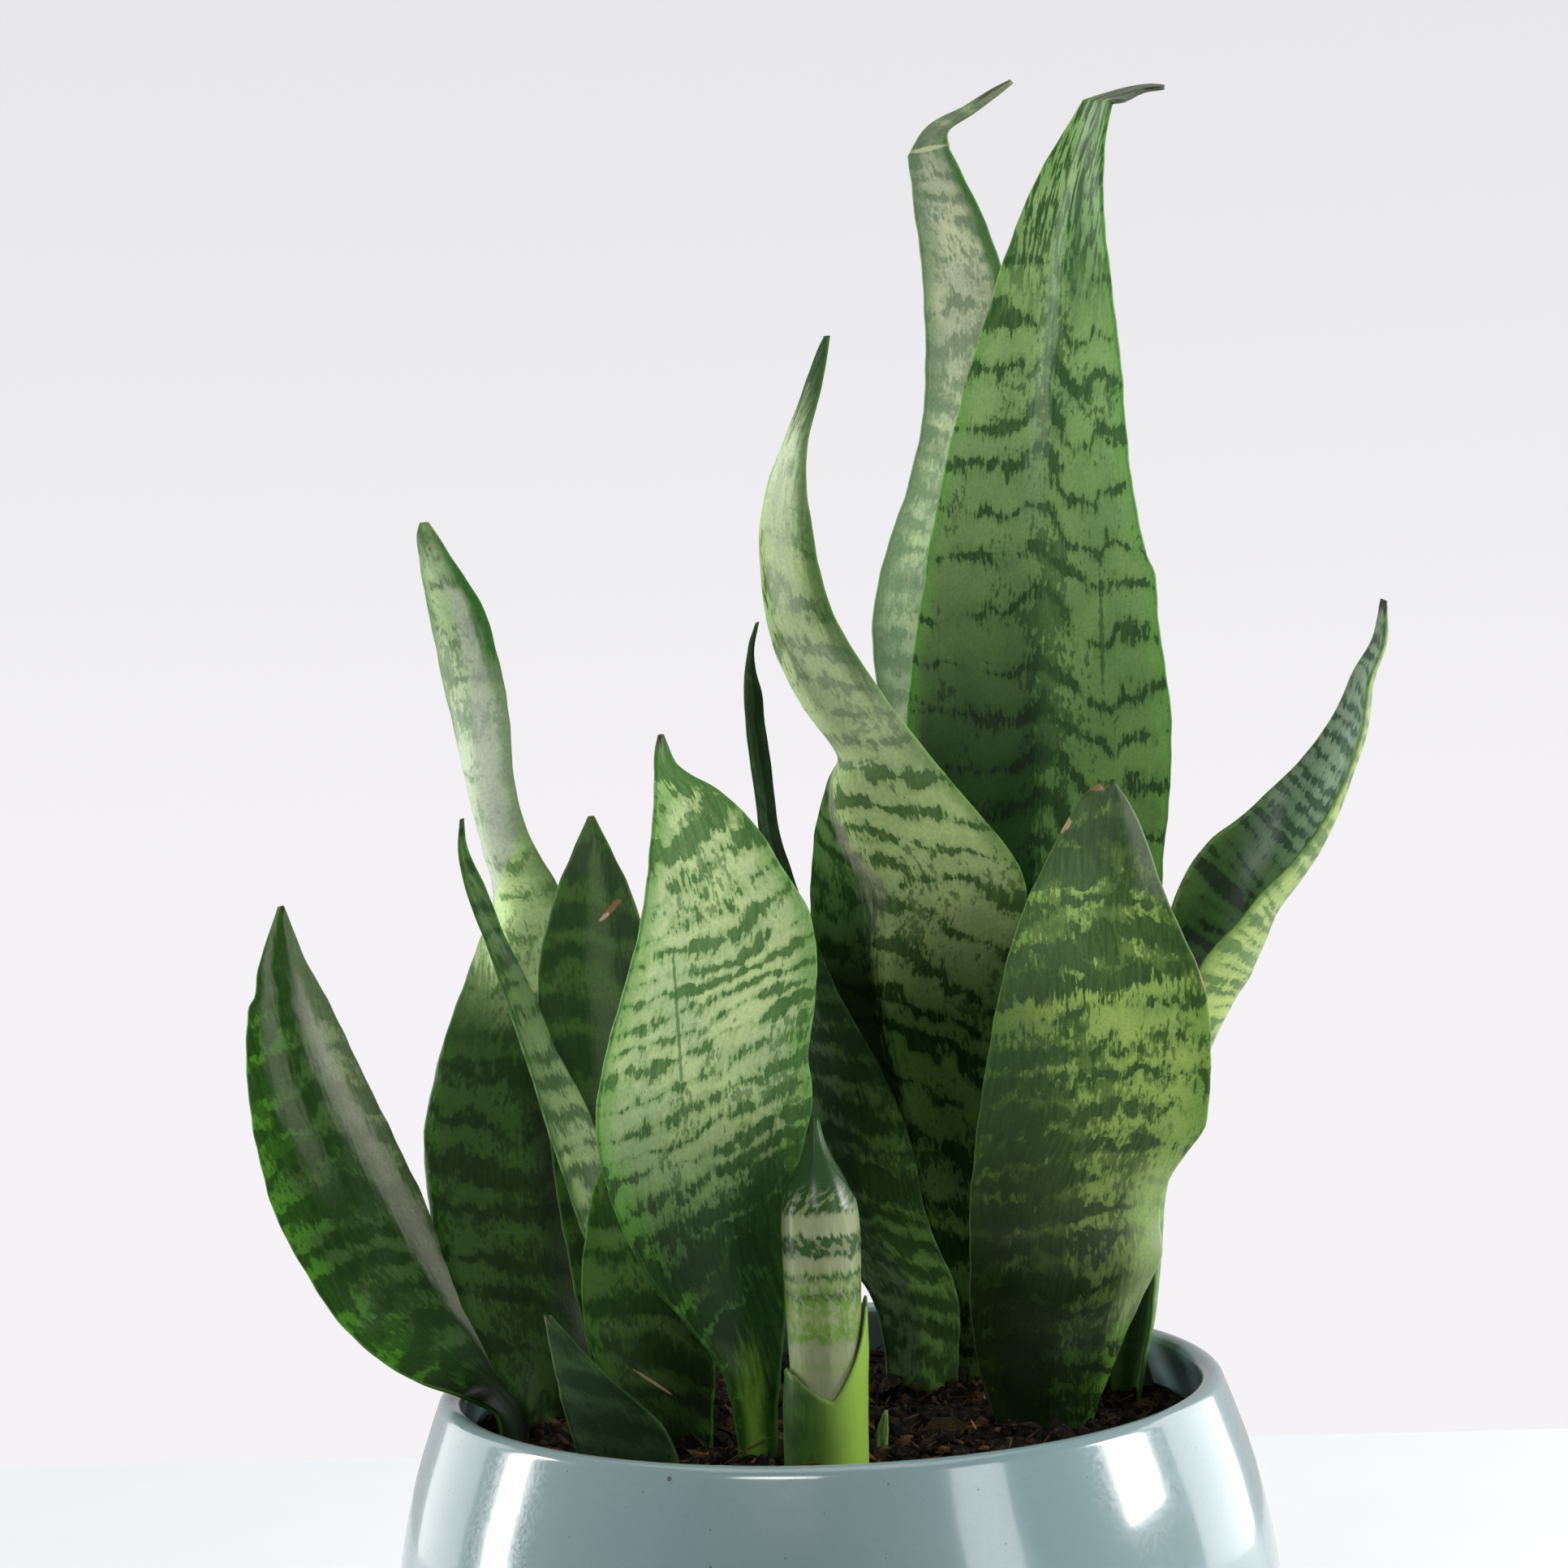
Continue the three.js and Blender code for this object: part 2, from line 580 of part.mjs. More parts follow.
// Outer wall of the pot from its foot to its rim, as radius and height
const outerWall = new THREE.CatmullRomCurve3([
  [footRadius + 3, 2.2], [59, 9.5], [69.5, 24], [76.5, 40], [bellyRadius - 0.4, bellyHeight - 8],
  [bellyRadius - 0.1, bellyHeight + 6], [78.8, 81], [76.8, 95], [74.2, 106], [rimRadius + 1, 115.5],
].map(([r, z]) => new THREE.Vector3(r, 0, z)));

const innerWall = new THREE.CatmullRomCurve3([
  [rimRadius - wall + 1.4, 115.5], [74.2 - wall, 106], [76.8 - wall, 95], [78.8 - wall, 81],
  [bellyRadius - wall, bellyHeight + 6], [bellyRadius - wall - 0.5, bellyHeight - 8],
  [76.5 - wall - 0.4, 40], [69.5 - wall - 0.7, 24], [59 - wall, 12], [footRadius, floorThickness],
].map(([r, z]) => new THREE.Vector3(r, 0, z)));

function wallPoints(curve) {
  return curve.getPoints(wallSteps).map((p) => new THREE.Vector2(p.x, p.z));
}

function turned(profile) {
  const geometry = new THREE.LatheGeometry(profile, potSides);
  geometry.rotateX(Math.PI / 2);
  return toGeometry(toManifold(geometry));
}

function potSolid() {
  const lipRadius = wall / 2;
  const lip = [15, 52, 90, 128, 165].map((degrees) => {
    const turn = THREE.MathUtils.degToRad(degrees);
    const outward = lipRadius * Math.cos(turn);
    const upward = lipRadius * Math.sin(turn);
    return new THREE.Vector2(rimRadius - lipRadius + outward, rimLevel - lipRadius + upward);
  });
  return turned([
    new THREE.Vector2(0, 0),
    new THREE.Vector2(footRadius, 0),
    ...wallPoints(outerWall),
    ...lip,
    ...wallPoints(innerWall),
    new THREE.Vector2(0, floorThickness),
  ]);
}

// Small lumps of the soil's top, in units of the soil's roughness
function soilLumps(x, y) {
  return Math.sin(x / 3.7 + 0.4) * Math.cos(y / 4.3) + 0.6 * Math.sin((x + y) / 2.6 + 1.1);
}

// Soil: fills the pot up to a rough, slightly mounded top that the leaves stand in
function soilSolid(holes) {
  const inside = wallPoints(innerWall)
    .filter((p) => p.y < soilLevel - 3)
    .reverse()
    .map((p) => new THREE.Vector2(p.x - clearance, p.y + clearance / 2));
  const profile = [new THREE.Vector2(footRadius - 2, floorThickness + clearance), ...inside];
  const points = [new THREE.Vector3(0, 0, floorThickness + clearance)];
  const rings = [];
  const addRing = (radius, height) => {
    const ring = [];
    for (let k = 0; k < potSides; k += 1) {
      const turn = (2 * Math.PI * k) / potSides;
      const x = radius * Math.cos(turn);
      const y = radius * Math.sin(turn);
      ring.push(points.length);
      points.push(new THREE.Vector3(x, y, height(x, y)));
    }
    rings.push(ring);
  };
  profile.forEach((p) => addRing(p.x, () => p.y));
  const topHeight = (x, y) => {
    const mound = soilMound * (Math.cos((Math.hypot(x, y) / rimRadius) * (Math.PI / 2)) - 0.5);
    return soilLevel + mound + soilRoughness * soilLumps(x, y);
  };
  soilRings.forEach((radius) => addRing(radius, topHeight));
  const peak = points.length;
  points.push(new THREE.Vector3(0, 0, topHeight(0, 0)));
  const triangles = [];
  for (let k = 0; k < potSides; k += 1) {
    const next = (k + 1) % potSides;
    triangles.push([0, rings[0][next], rings[0][k]]);
    for (let i = 0; i + 1 < rings.length; i += 1) {
      triangles.push([rings[i][k], rings[i][next], rings[i + 1][next]]);
      triangles.push([rings[i][k], rings[i + 1][next], rings[i + 1][k]]);
    }
    triangles.push([rings[rings.length - 1][k], rings[rings.length - 1][next], peak]);
  }
  let soil = toManifold(closedSurface(points, triangles));
  for (const hole of holes) soil = soil.subtract(toManifold(hole));
  return toGeometry(soil);
}

const glaze = { color: 0x93a6a6, roughness: 0.18, metalness: 0 };
const earth = { color: 0x2b1f18, roughness: 1, metalness: 0 };
const leafColours = {
  leaf_far_left: 0x55793f,
  leaf_tall_left: 0x5f8455,
  leaf_pointed_left: 0x2f5a2c,
  leaf_narrow_left: 0x4c7050,
  leaf_front_broad: 0x86ab6e,
  leaf_low_left: 0x3f6a38,
  leaf_short_left: 0x3c5f4a,
  leaf_curved_middle: 0x86a063,
  leaf_dark_middle: 0x3c5c3c,
  leaf_front_right: 0x6c9142,
  leaf_tallest: 0x7f9f74,
  leaf_back_tall: 0x8aa27f,
  leaf_right: 0x6c8a62,
  sprout_front: 0x4f8040,
};

const group = new THREE.Group();

function addPart(name, geometry, look) {
  const mesh = new THREE.Mesh(geometry, new THREE.MeshStandardMaterial(look));
  mesh.name = name;
  group.add(mesh);
}

const holes = Object.values(leaves).map(leafHole);
holes.push(sheathHole());

addPart('pot', potSolid(), glaze);
addPart('soil', soilSolid(holes), earth);
for (const [name, leaf] of Object.entries(leaves)) {
  addPart(name, leafSolid(leaf), { color: leafColours[name], roughness: 0.45, metalness: 0 });
}
addPart('leaf_rolled_front', rolledSolid(), { color: 0xb5c48e, roughness: 0.4, metalness: 0 });
addPart('sheath_front', sheathSolid(), { color: 0x5f9247, roughness: 0.45, metalness: 0 });

export default group;
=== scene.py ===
# Potted ceylon bowstring hemp: banded sword leaves in a round glazed pot of soil
import math
import random

import bmesh
import bpy
import numpy as np
from mathutils import Euler, Matrix, Vector, noise


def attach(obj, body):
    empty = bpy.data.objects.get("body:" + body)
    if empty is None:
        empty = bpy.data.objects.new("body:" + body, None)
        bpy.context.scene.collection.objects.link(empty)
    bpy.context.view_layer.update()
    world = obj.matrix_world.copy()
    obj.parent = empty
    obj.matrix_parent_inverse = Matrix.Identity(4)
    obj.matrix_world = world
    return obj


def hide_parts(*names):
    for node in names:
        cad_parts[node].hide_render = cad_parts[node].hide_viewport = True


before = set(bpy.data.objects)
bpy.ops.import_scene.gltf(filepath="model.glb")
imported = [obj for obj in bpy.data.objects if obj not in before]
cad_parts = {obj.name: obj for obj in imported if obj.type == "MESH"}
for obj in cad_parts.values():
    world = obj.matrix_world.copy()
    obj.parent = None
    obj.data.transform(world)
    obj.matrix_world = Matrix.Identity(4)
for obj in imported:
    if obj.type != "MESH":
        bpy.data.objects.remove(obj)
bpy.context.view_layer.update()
mm = 0.001
print("frame loaded:", len(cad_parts), "solids")


# Colours and node trees

def tone(red, green, blue):  # a colour as a screen shows it, 0 to 255
    parts = []
    for value in (red, green, blue):
        value /= 255
        parts.append(value / 12.92 if value <= 0.04045 else ((value + 0.055) / 1.055) ** 2.4)
    return (*parts, 1.0)


class Flow:  # the output of a node, so that sums of outputs read like sums of numbers
    def __init__(self, socket):
        self.socket = socket

    def __add__(self, other):
        return calc("ADD", self, other)

    def __sub__(self, other):
        return calc("SUBTRACT", self, other)

    def __rsub__(self, other):
        return calc("SUBTRACT", other, self)

    def __mul__(self, other):
        return calc("MULTIPLY", self, other)

    def __truediv__(self, other):
        return calc("DIVIDE", self, other)

    def __abs__(self):
        return calc("ABSOLUTE", self)


def feed(made, inputs):  # sets the inputs of a node, or links them to a flow
    for key, value in inputs.items():
        if isinstance(value, Flow):
            made.id_data.links.new(value.socket, made.inputs[key])
        else:
            made.inputs[key].default_value = value
    return made


def addNode(kind, inputs, tree=None, **settings):
    tree = tree or next(value.socket.id_data for value in inputs.values() if isinstance(value, Flow))
    made = tree.nodes.new("ShaderNode" + kind)
    for name, value in settings.items():
        setattr(made, name, value)
    return feed(made, inputs).outputs


def calc(operation, *inputs):
    return Flow(addNode("Math", dict(enumerate(inputs)), operation=operation)[0])


def fade(value, low, high, toLow=0.0, toHigh=1.0, kind="SMOOTHSTEP"):  # a soft step from low to high
    inputs = {0: value, 1: low, 2: high, 3: toLow, 4: toHigh}
    return Flow(addNode("MapRange", inputs, interpolation_type=kind)[0])


def joined(x, y, z=0.0):
    return Flow(addNode("CombineXYZ", {0: x, 1: y, 2: z})[0])


def parted(vector):
    return [Flow(part) for part in addNode("SeparateXYZ", {0: vector})]


def cloud(vector, scale=1.0, detail=2.0, roughness=0.5):  # noise from 0 to 1
    inputs = {"Vector": vector, "Scale": scale, "Detail": detail, "Roughness": roughness}
    return Flow(addNode("TexNoise", inputs)["Fac"])


def stretched(u, v, wide, tall, seed=0.0, detail=3.0):  # noise with its grain wide and tall in mm
    return cloud(joined(u / wide, v / tall, seed), 1.0, detail)


def blended(amount, under, over, kind="MIX"):  # plain colours are given as a screen shows them
    under, over = [tone(*c) if isinstance(c, tuple) and len(c) == 3 else c for c in (under, over)]
    return Flow(addNode("Mix", {0: amount, 6: under, 7: over}, data_type="RGBA", blend_type=kind)[2])


def shaded(colour, share):  # a colour made lighter or darker
    return blended(1.0, colour, joined(share, share, share), "MULTIPLY")


def startGroup(name, inputs, outputs):
    tree = bpy.data.node_groups.new(name, "ShaderNodeTree")
    for label, value in inputs.items():
        kind = "NodeSocketVector" if isinstance(value, tuple) else "NodeSocketFloat"
        tree.interface.new_socket(label, in_out="INPUT", socket_type=kind).default_value = value
    for label in outputs:
        tree.interface.new_socket(label, in_out="OUTPUT", socket_type="NodeSocketFloat")
    given = tree.nodes.new("NodeGroupInput").outputs
    return {label: Flow(given[label]) for label in inputs}, tree.nodes.new("NodeGroupOutput")


def placeGroup(group, **inputs):
    return {part.name: Flow(part) for part in addNode("Group", inputs, node_tree=group)}


def attribute(tree, name, part="Vector"):
    return Flow(addNode("Attribute", {}, tree, attribute_name=name)[part])


def placeInMm(tree):
    coordinates = Flow(addNode("TexCoord", {}, tree)["Object"])
    return Flow(addNode("VectorMath", {0: coordinates, 3: 1 / mm}, operation="SCALE")[0])


def startMaterial(name):
    material = bpy.data.materials.new(name)
    material.use_nodes = True
    return material, material.node_tree, material.node_tree.nodes["Principled BSDF"]


def addBump(height, strength, distance):
    return Flow(addNode("Bump", {"Strength": strength, "Distance": distance, "Height": height})[0])


# Effects that several finishes share

# Ragged dark bands across a leaf. Space is millimetres across and along the blade, and so are the distance
# from band to band, the width of a band, and how far waves, hairs and patches shift its edges.
bandWaves = [(40, 14, 0, 1.6), (11, 17, 2, 1.0), (3.4, 8, 4, 0.55)]   # mm across and along, seed, share


def makeBandGroup():
    inputs = {"Space": (0, 0, 0), "Seed": 1.0, "Spacing": 7.0, "Width": 2.0, "Slope": 0.0, "Chevron": 0.0,
              "Shift": 0.0, "Wave": 1.5, "Fringe": 0.8, "Patches": 1.0, "Mottle": 0.4, "Soft": 0.25}
    given, out = startGroup("leafBands", inputs, ["Dark", "Shade"])
    across, along, side = parted(given["Space"])
    seed = side * 41.0 + given["Seed"] * 17.3

    def over(wide, tall, detail, shift):             # uneven from about -1 to 1, with its grain in mm
        return stretched(across, along, wide, tall, seed + shift, detail) * 3.0 - 1.5

    run = across * given["Slope"] + along + abs(across) * given["Chevron"] + given["Shift"]
    for wide, tall, shift, share in bandWaves:
        run = run + over(wide, tall, 2, shift) * share * given["Wave"]
    run = run / given["Spacing"]
    fromBand = abs(calc("FRACT", run) - 0.5) * given["Spacing"]
    own = cloud(joined(across / 13, calc("FLOOR", run) * 3.7, seed), 1, 1) * 3.4 - 1.7   # of each band
    value = given["Width"] * 0.5 - fromBand + (own + over(6, 5, 2, 6)) * given["Patches"]
    value = value + over(0.5, 3.2, 3, 8) * given["Fringe"] * 1.9
    value = value + over(1.7, 2.4, 3, 10) * given["Mottle"] * 2.4
    flecks = over(0.7, 1.8, 3, 12) + over(6, 8, 2, 14) + given["Width"] * 0.14 + given["Mottle"] - 1.45
    dark = calc("MAXIMUM", fade(value / given["Soft"], -1.0, 1.0), fade(flecks, -0.1, 0.15, 0.0, 0.75))
    feed(out, {"Dark": dark, "Shade": fade(value, -2.4, 0.5)})
    return out.id_data


# Fine lengthwise fibres, long streaks, broad patches and fine grain of a leaf, each from 0 to 1
def makeFibreGroup():
    grains = {"Fibre": (0.32, 26), "Streak": (0.6, 5), "Patch": (8, 14), "Grain": (0.45, 0.6)}  # mm
    given, out = startGroup("leafFibres", {"Space": (0, 0, 0), "Seed": 1.0}, grains)
    across, along, side = parted(given["Space"])
    seed = side * 23.0 + given["Seed"] * 9.7
    feed(out, {label: stretched(across, along, *grain, seed) for label, grain in grains.items()})
    return out.id_data


# The thin line right at the edge of a leaf, and the soft uneven border inside it
def makeMarginGroup():
    inputs = {"Space": (0, 0, 0), "FromEdge": 5.0, "Seed": 1.0, "Line": 0.4, "Border": 2.5}
    given, out = startGroup("leafMargin", inputs, ["Line", "Border"])
    across, along = parted(given["Space"])[:2]
    wobble = stretched(across, along, 12, 6, given["Seed"] * 5.1)
    for label, weak, strong, start in (("Line", 0.6, 1.4, 0.7), ("Border", 0.5, 1.5, 0.1)):
        reach = given[label] * fade(wobble, 0.25, 0.75, weak, strong)
        share = given["FromEdge"] / calc("MAXIMUM", reach, 0.01)
        feed(out, {label: fade(share, start, 1.2, 1.0, 0.0)})
    return out.id_data


# One mark on the surface, such as a scar, with a ragged outline. Place, AtX and AtZ are in millimetres.
def makeMarkGroup():
    inputs = {"Place": (0, 0, 0), "AtX": 0.0, "AtZ": 0.0, "Wide": 2.0, "Tall": 2.0, "Turn": 0.0,
              "Ragged": 0.3, "Soft": 0.3}
    given, out = startGroup("surfaceMark", inputs, ["Mark"])
    place = parted(given["Place"])
    x, z = place[0] - given["AtX"], place[2] - given["AtZ"]
    angle = calc("RADIANS", given["Turn"])
    cosine, sine = calc("COSINE", angle), calc("SINE", angle)
    u = (x * cosine + z * sine) / given["Wide"]
    v = (z * cosine - x * sine) / given["Tall"]
    rag = cloud(given["Place"], 0.9, 3) * 2.0 - 1.0
    away = calc("SQRT", u * u + v * v) + rag * given["Ragged"]
    feed(out, {"Mark": 1.0 - fade(away, 1.0 - given["Soft"], 1.0)})
    return out.id_data


# Tiny specks scattered over a surface. Place is in millimetres.
def makeSpeckGroup():
    inputs = {"Place": (0, 0, 0), "Scale": 0.4, "Size": 0.2, "Share": 0.4}
    given, out = startGroup("specks", inputs, ["Speck"])
    spots = addNode("TexVoronoi", {"Vector": given["Place"], "Scale": given["Scale"]})
    chance, other = parted(Flow(spots["Color"]))[:2]
    away = Flow(spots["Distance"]) / (given["Size"] * (chance * 1.2 + 0.3))
    feed(out, {"Speck": fade(away, 0.6, 1.0, 1.0, 0.0) * calc("LESS_THAN", other, given["Share"])})
    return out.id_data


bandGroup = makeBandGroup()
fibreGroup = makeFibreGroup()
marginGroup = makeMarginGroup()
markGroup = makeMarkGroup()
speckGroup = makeSpeckGroup()
print("shared effects made")


# Leaf shapes

def curvePoints(points, places):  # the smooth curve of the solids, read at places counted in rows
    last = len(points) - 1
    found = []
    for place in places:
        i = min(int(place), last - 1)
        w = place - i
        p1, p2 = points[i], points[i + 1]
        p0 = points[i - 1] if i > 0 else 2 * p1 - p2
        p3 = points[i + 2] if i + 2 <= last else 2 * p2 - p1
        d0, d1, d2 = [max(math.sqrt((b - a).length), 1e-4) for a, b in ((p0, p1), (p1, p2), (p2, p3))]
        t1 = ((p1 - p0) / d0 - (p2 - p0) / (d0 + d1) + (p2 - p1) / d1) * d1
        t2 = ((p2 - p1) / d1 - (p3 - p1) / (d1 + d2) + (p3 - p2) / d2) * d1
        square, cube = 3 * (p2 - p1) - 2 * t1 - t2, 2 * (p1 - p2) + t1 + t2
        found.append(p1 + t1 * w + square * w ** 2 + cube * w ** 3)
    return np.array([tuple(p) for p in found])


def unit(vectors):
    return vectors / np.linalg.norm(vectors, axis=-1, keepdims=True)


def smoothed(values, passes):
    values = np.array(values, float)
    for _ in range(passes):
        inner = values[1:-1] * 0.5 + (values[:-2] + values[2:]) * 0.25
        values = np.concatenate([values[:1], inner, values[-1:]])
    return values


def ripple(x, seed, length):  # a smooth uneven wave from about -1 to 1
    total = 0
    for k in range(4):
        stretch = (1 + 0.63 * k) / length
        start = seed * (2.3 + k) + 5 * k
        total = total + math.cos(seed * 3.1 + k) * np.sin(2 * math.pi * x * stretch + start)
    return total / 2


def edgeLine(points, places, folds):     # a leaf's margin, with a corner in it at each fold
    cuts = [0, *folds, len(points) - 1]
    parts = []
    for start, end in zip(cuts, cuts[1:]):
        here = places[((places > start) | (start == 0)) & (places <= end)] - start
        parts.append(curvePoints(points[start:end + 1], here))
    return np.concatenate(parts)


blade = {
    "step": 1.6,          # mm between stations
    "columns": 23,        # across each face
    "rootThickness": 3.0,
    "tipThickness": 1.3,
    "edgeThickness": 0.9,
    "surfaceWave": 0.12,
    "marginWave": 0.12,
    "tornReach": 4.0,     # mm below a torn end that still feel it
}


def buildLeaf(name, leaf):
    rows = leaf["rows"]
    left = [Vector(row[0:3]) for row in rows]
    right = [Vector(row[3:6]) for row in rows]
    places = []
    for i in range(len(rows) - 1):
        reach = max((left[i + 1] - left[i]).length, (right[i + 1] - right[i]).length)
        steps = max(2, math.ceil(reach / blade["step"]))
        places += [i + j / steps for j in range(steps)]
    places = np.array(places + [len(rows) - 1.0])
    leftSide = edgeLine(left, places, leaf.get("folds", []))
    rightSide = edgeLine(right, places, leaf.get("folds", []))
    middle = (leftSide + rightSide) / 2
    hops = np.linalg.norm(np.diff(middle, axis=0), axis=1)
    along = np.concatenate([[0], np.cumsum(hops)])
    total = along[-1]
    bow = smoothed(np.interp(places, range(len(rows)), [row[6] for row in rows]), 12)
    up = unit(smoothed(np.gradient(middle, axis=0), 2))
    across = rightSide - leftSide
    half = np.linalg.norm(across, axis=1) / 2
    across = unit(across)
    behind = unit(np.cross(up, across))
    t = places / places[-1]
    thick = blade["rootThickness"] + (blade["tipThickness"] - blade["rootThickness"]) * t
    thick = np.minimum(thick, np.maximum(blade["edgeThickness"], half * 0.5))
    edge = np.minimum(blade["edgeThickness"] / 2, half * 0.6)

    # Each ring of points runs along the front, round the right margin, back behind and round the left margin
    inner = np.sin(np.linspace(-1, 1, blade["columns"]) * math.pi / 2)
    arc = np.radians([-60, -30, 0, 30, 60])
    count, turns = len(inner), len(arc)
    stations, ring = len(places), 2 * (count + turns)
    front, rightRim = slice(0, count), slice(count, count + turns)
    rear, leftRim = slice(count + turns, 2 * count + turns), slice(2 * count + turns, ring)
    s = np.zeros((stations, ring))
    lift = np.zeros((stations, ring))
    inset = (1 - edge / np.maximum(half, 1e-6))[:, None]
    rim = (edge / np.maximum(half, 1e-6))[:, None]
    spread = inset * inner[None, :]
    half2 = (blade["edgeThickness"] + (thick[:, None] - blade["edgeThickness"]) * (1 - spread ** 2)) / 2
    half2 = np.minimum(half2, np.maximum(edge[:, None], half2 * (half[:, None] > 0.6)))
    rimS, rimLift = inset + rim * np.cos(arc)[None, :], edge[:, None] * np.sin(arc)[None, :]
    s[:, front], lift[:, front] = spread, -half2
    s[:, rightRim], lift[:, rightRim] = rimS, rimLift
    s[:, rear], lift[:, rear] = spread[:, ::-1], half2[:, ::-1]
    s[:, leftRim], lift[:, leftRim] = -rimS, rimLift[:, ::-1]

    keel = leaf.get("keel", 0.0)
    crown = (1 - keel) * (1 - s ** 2) + keel * (1.02 - np.sqrt(s ** 2 + 0.02 ** 2 + 0.02))
    slope = 2 * bow[:, None] * s
    seed = leaf["seed"]
    wave = blade["surfaceWave"] * ripple(along[:, None] + 9 * s, seed, 31) * (1 - s ** 4)
    growth = blade["marginWave"] * ripple(along, seed + 2, 17) * np.minimum(1, half / 4)
    right, back = across[:, None, :], behind[:, None, :]
    normal = unit(right * slope[:, :, None] + back * np.maximum(half, 0.3)[:, None, None])
    points = middle[:, None, :] + right * (s * (half + growth)[:, None])[:, :, None]
    points = points + back * (bow[:, None] * crown)[:, :, None] + normal * (lift + wave)[:, :, None]
    if "torn" in leaf:                               # s and rise of the uneven upper end
        near = np.clip((along - total + blade["tornReach"]) / blade["tornReach"], 0, 1) ** 2
        torn = np.interp(s, *zip(*leaf["torn"])) * near[:, None]
        points = points + up[:, None, :] * torn[:, :, None]

    sides = np.zeros(ring)
    sides[count + 3:2 * count + 7] = 1               # 1 behind, with the nearer part of both margins
    level = np.zeros((stations, ring)) + along[:, None]
    space = np.stack([s * half[:, None], level, np.zeros((stations, ring)) + sides], 2)
    place = np.stack([s, total - level, (1 - np.abs(s)) * half[:, None]], 2)

    faces = ringFaces(range(0, stations * ring, ring), ring)
    for base in (0, (stations - 1) * ring):          # both ends are closed strip by strip
        for k in range(count - 1):
            faces.append((base + k, base + k + 1, base + 2 * count + 3 - k, base + 2 * count + 4 - k))
        faces.append(tuple(base + count - 1 + k for k in range(7)))
        faces.append((base, *(base + 2 * count + 4 + k for k in range(6))))
    return makeObject(name, points.reshape(-1, 3), faces, {"leafSpace": space, "leafPlace": place})


def ringFaces(rings, sides):  # quads from ring to ring, each given by the number of its first point
    faces = []
    for a, b in zip(rings, rings[1:]):
        for k in range(sides):
            n = (k + 1) % sides
            faces.append((a + k, a + n, b + n, b + k))
    return faces


def makeObject(name, points, faces, vectors=None, numbers=None, smooth=True):
    mesh = bpy.data.meshes.new(name)
    mesh.from_pydata([tuple(p * mm for p in point) for point in points], [], faces)
    for label, values in (vectors or {}).items():
        layer = mesh.attributes.new(label, "FLOAT_VECTOR", "POINT")
        layer.data.foreach_set("vector", np.array(values, "f").reshape(-1))
    for label, values in (numbers or {}).items():
        layer = mesh.attributes.new(label, "FLOAT", "POINT")
        layer.data.foreach_set("value", np.array(values, "f").reshape(-1))
    work = bmesh.new()
    work.from_mesh(mesh)
    bmesh.ops.recalc_face_normals(work, faces=work.faces)
    work.to_mesh(mesh)
    work.free()
    mesh.polygons.foreach_set("use_smooth", [smooth] * len(mesh.polygons))
    made = bpy.data.objects.new(name, mesh)
    bpy.context.scene.collection.objects.link(made)
    return made


# Leaf finish

leafSurface = dict(
    bump=0.18,
    bumpDepth=0.00025,
    roughness=(0.34, 0.5),
    coatRoughness=0.25,
    patchTint=(1.6, 1.45, 1.25, 1),
    dryDark=(42, 44, 28),
    ridgeSoft=0.08,                # half width in s over which the colour changes at the ridge
    strayAcross=0.3,               # how uneven the edges of the zones are, in s
    strayAlong=(14, 12),           # the same in mm along the leaf, from streaks and from patches
)
# What holds for a leaf that doesn't say otherwise, in mm or as a share
leafLook = dict(
    # How the bands slant, bend down beside the middle, and wander
    slope=0.1, chevron=0, wave=2.2,
    # How soft their edges are, and how far hairs and patches shift them
    soft=0.25, fringe=0.6, patches=1.6,
    # Flecks between them, lighter patches, shade beside them, and how far dark and light differ
    mottle=0.8, patchy=0.4, shading=0.6, contrast=0.95,
    # The thin bright edge and the border inside it: width and strength
    line=0.3, lineAmount=0.32, border=2.4, borderAmount=0.5,
    gloss=0.16, coat=0.02, dryColour=(84, 86, 60),
    wider=(), flecked=(), steps=(), crowded=(), zones=(), ridgeZones=(), marks=(),
)


# A lengthwise zone: its centre and half width in s, and the heights in mm where it starts and ends
def zone(amount, colour=None, s=0.0, wide=9.0, after=None, upTo=None):
    return dict(amount=amount, colour=colour, s=s, wide=wide, after=after, upTo=upTo)


# A scar, speck or worn place: x, z, half width and half height in mm
def mark(x, z, wide, tall, colour, turn=0.0, ragged=0.3, soft=0.4, amount=0.9):
    shape = dict(AtX=x, AtZ=z, Wide=wide, Tall=tall, Turn=turn, Ragged=ragged, Soft=soft)
    return shape, colour, amount


def zoneMask(s, along, each):
    mask = fade(abs(s - each["s"]), each["wide"] * 0.25, each["wide"], 1.0, 0.0) * each["amount"]
    if each["after"]:
        mask = mask * fade(along, *each["after"])
    if each["upTo"]:
        mask = mask * fade(along, *each["upTo"], 1.0, 0.0)
    return mask


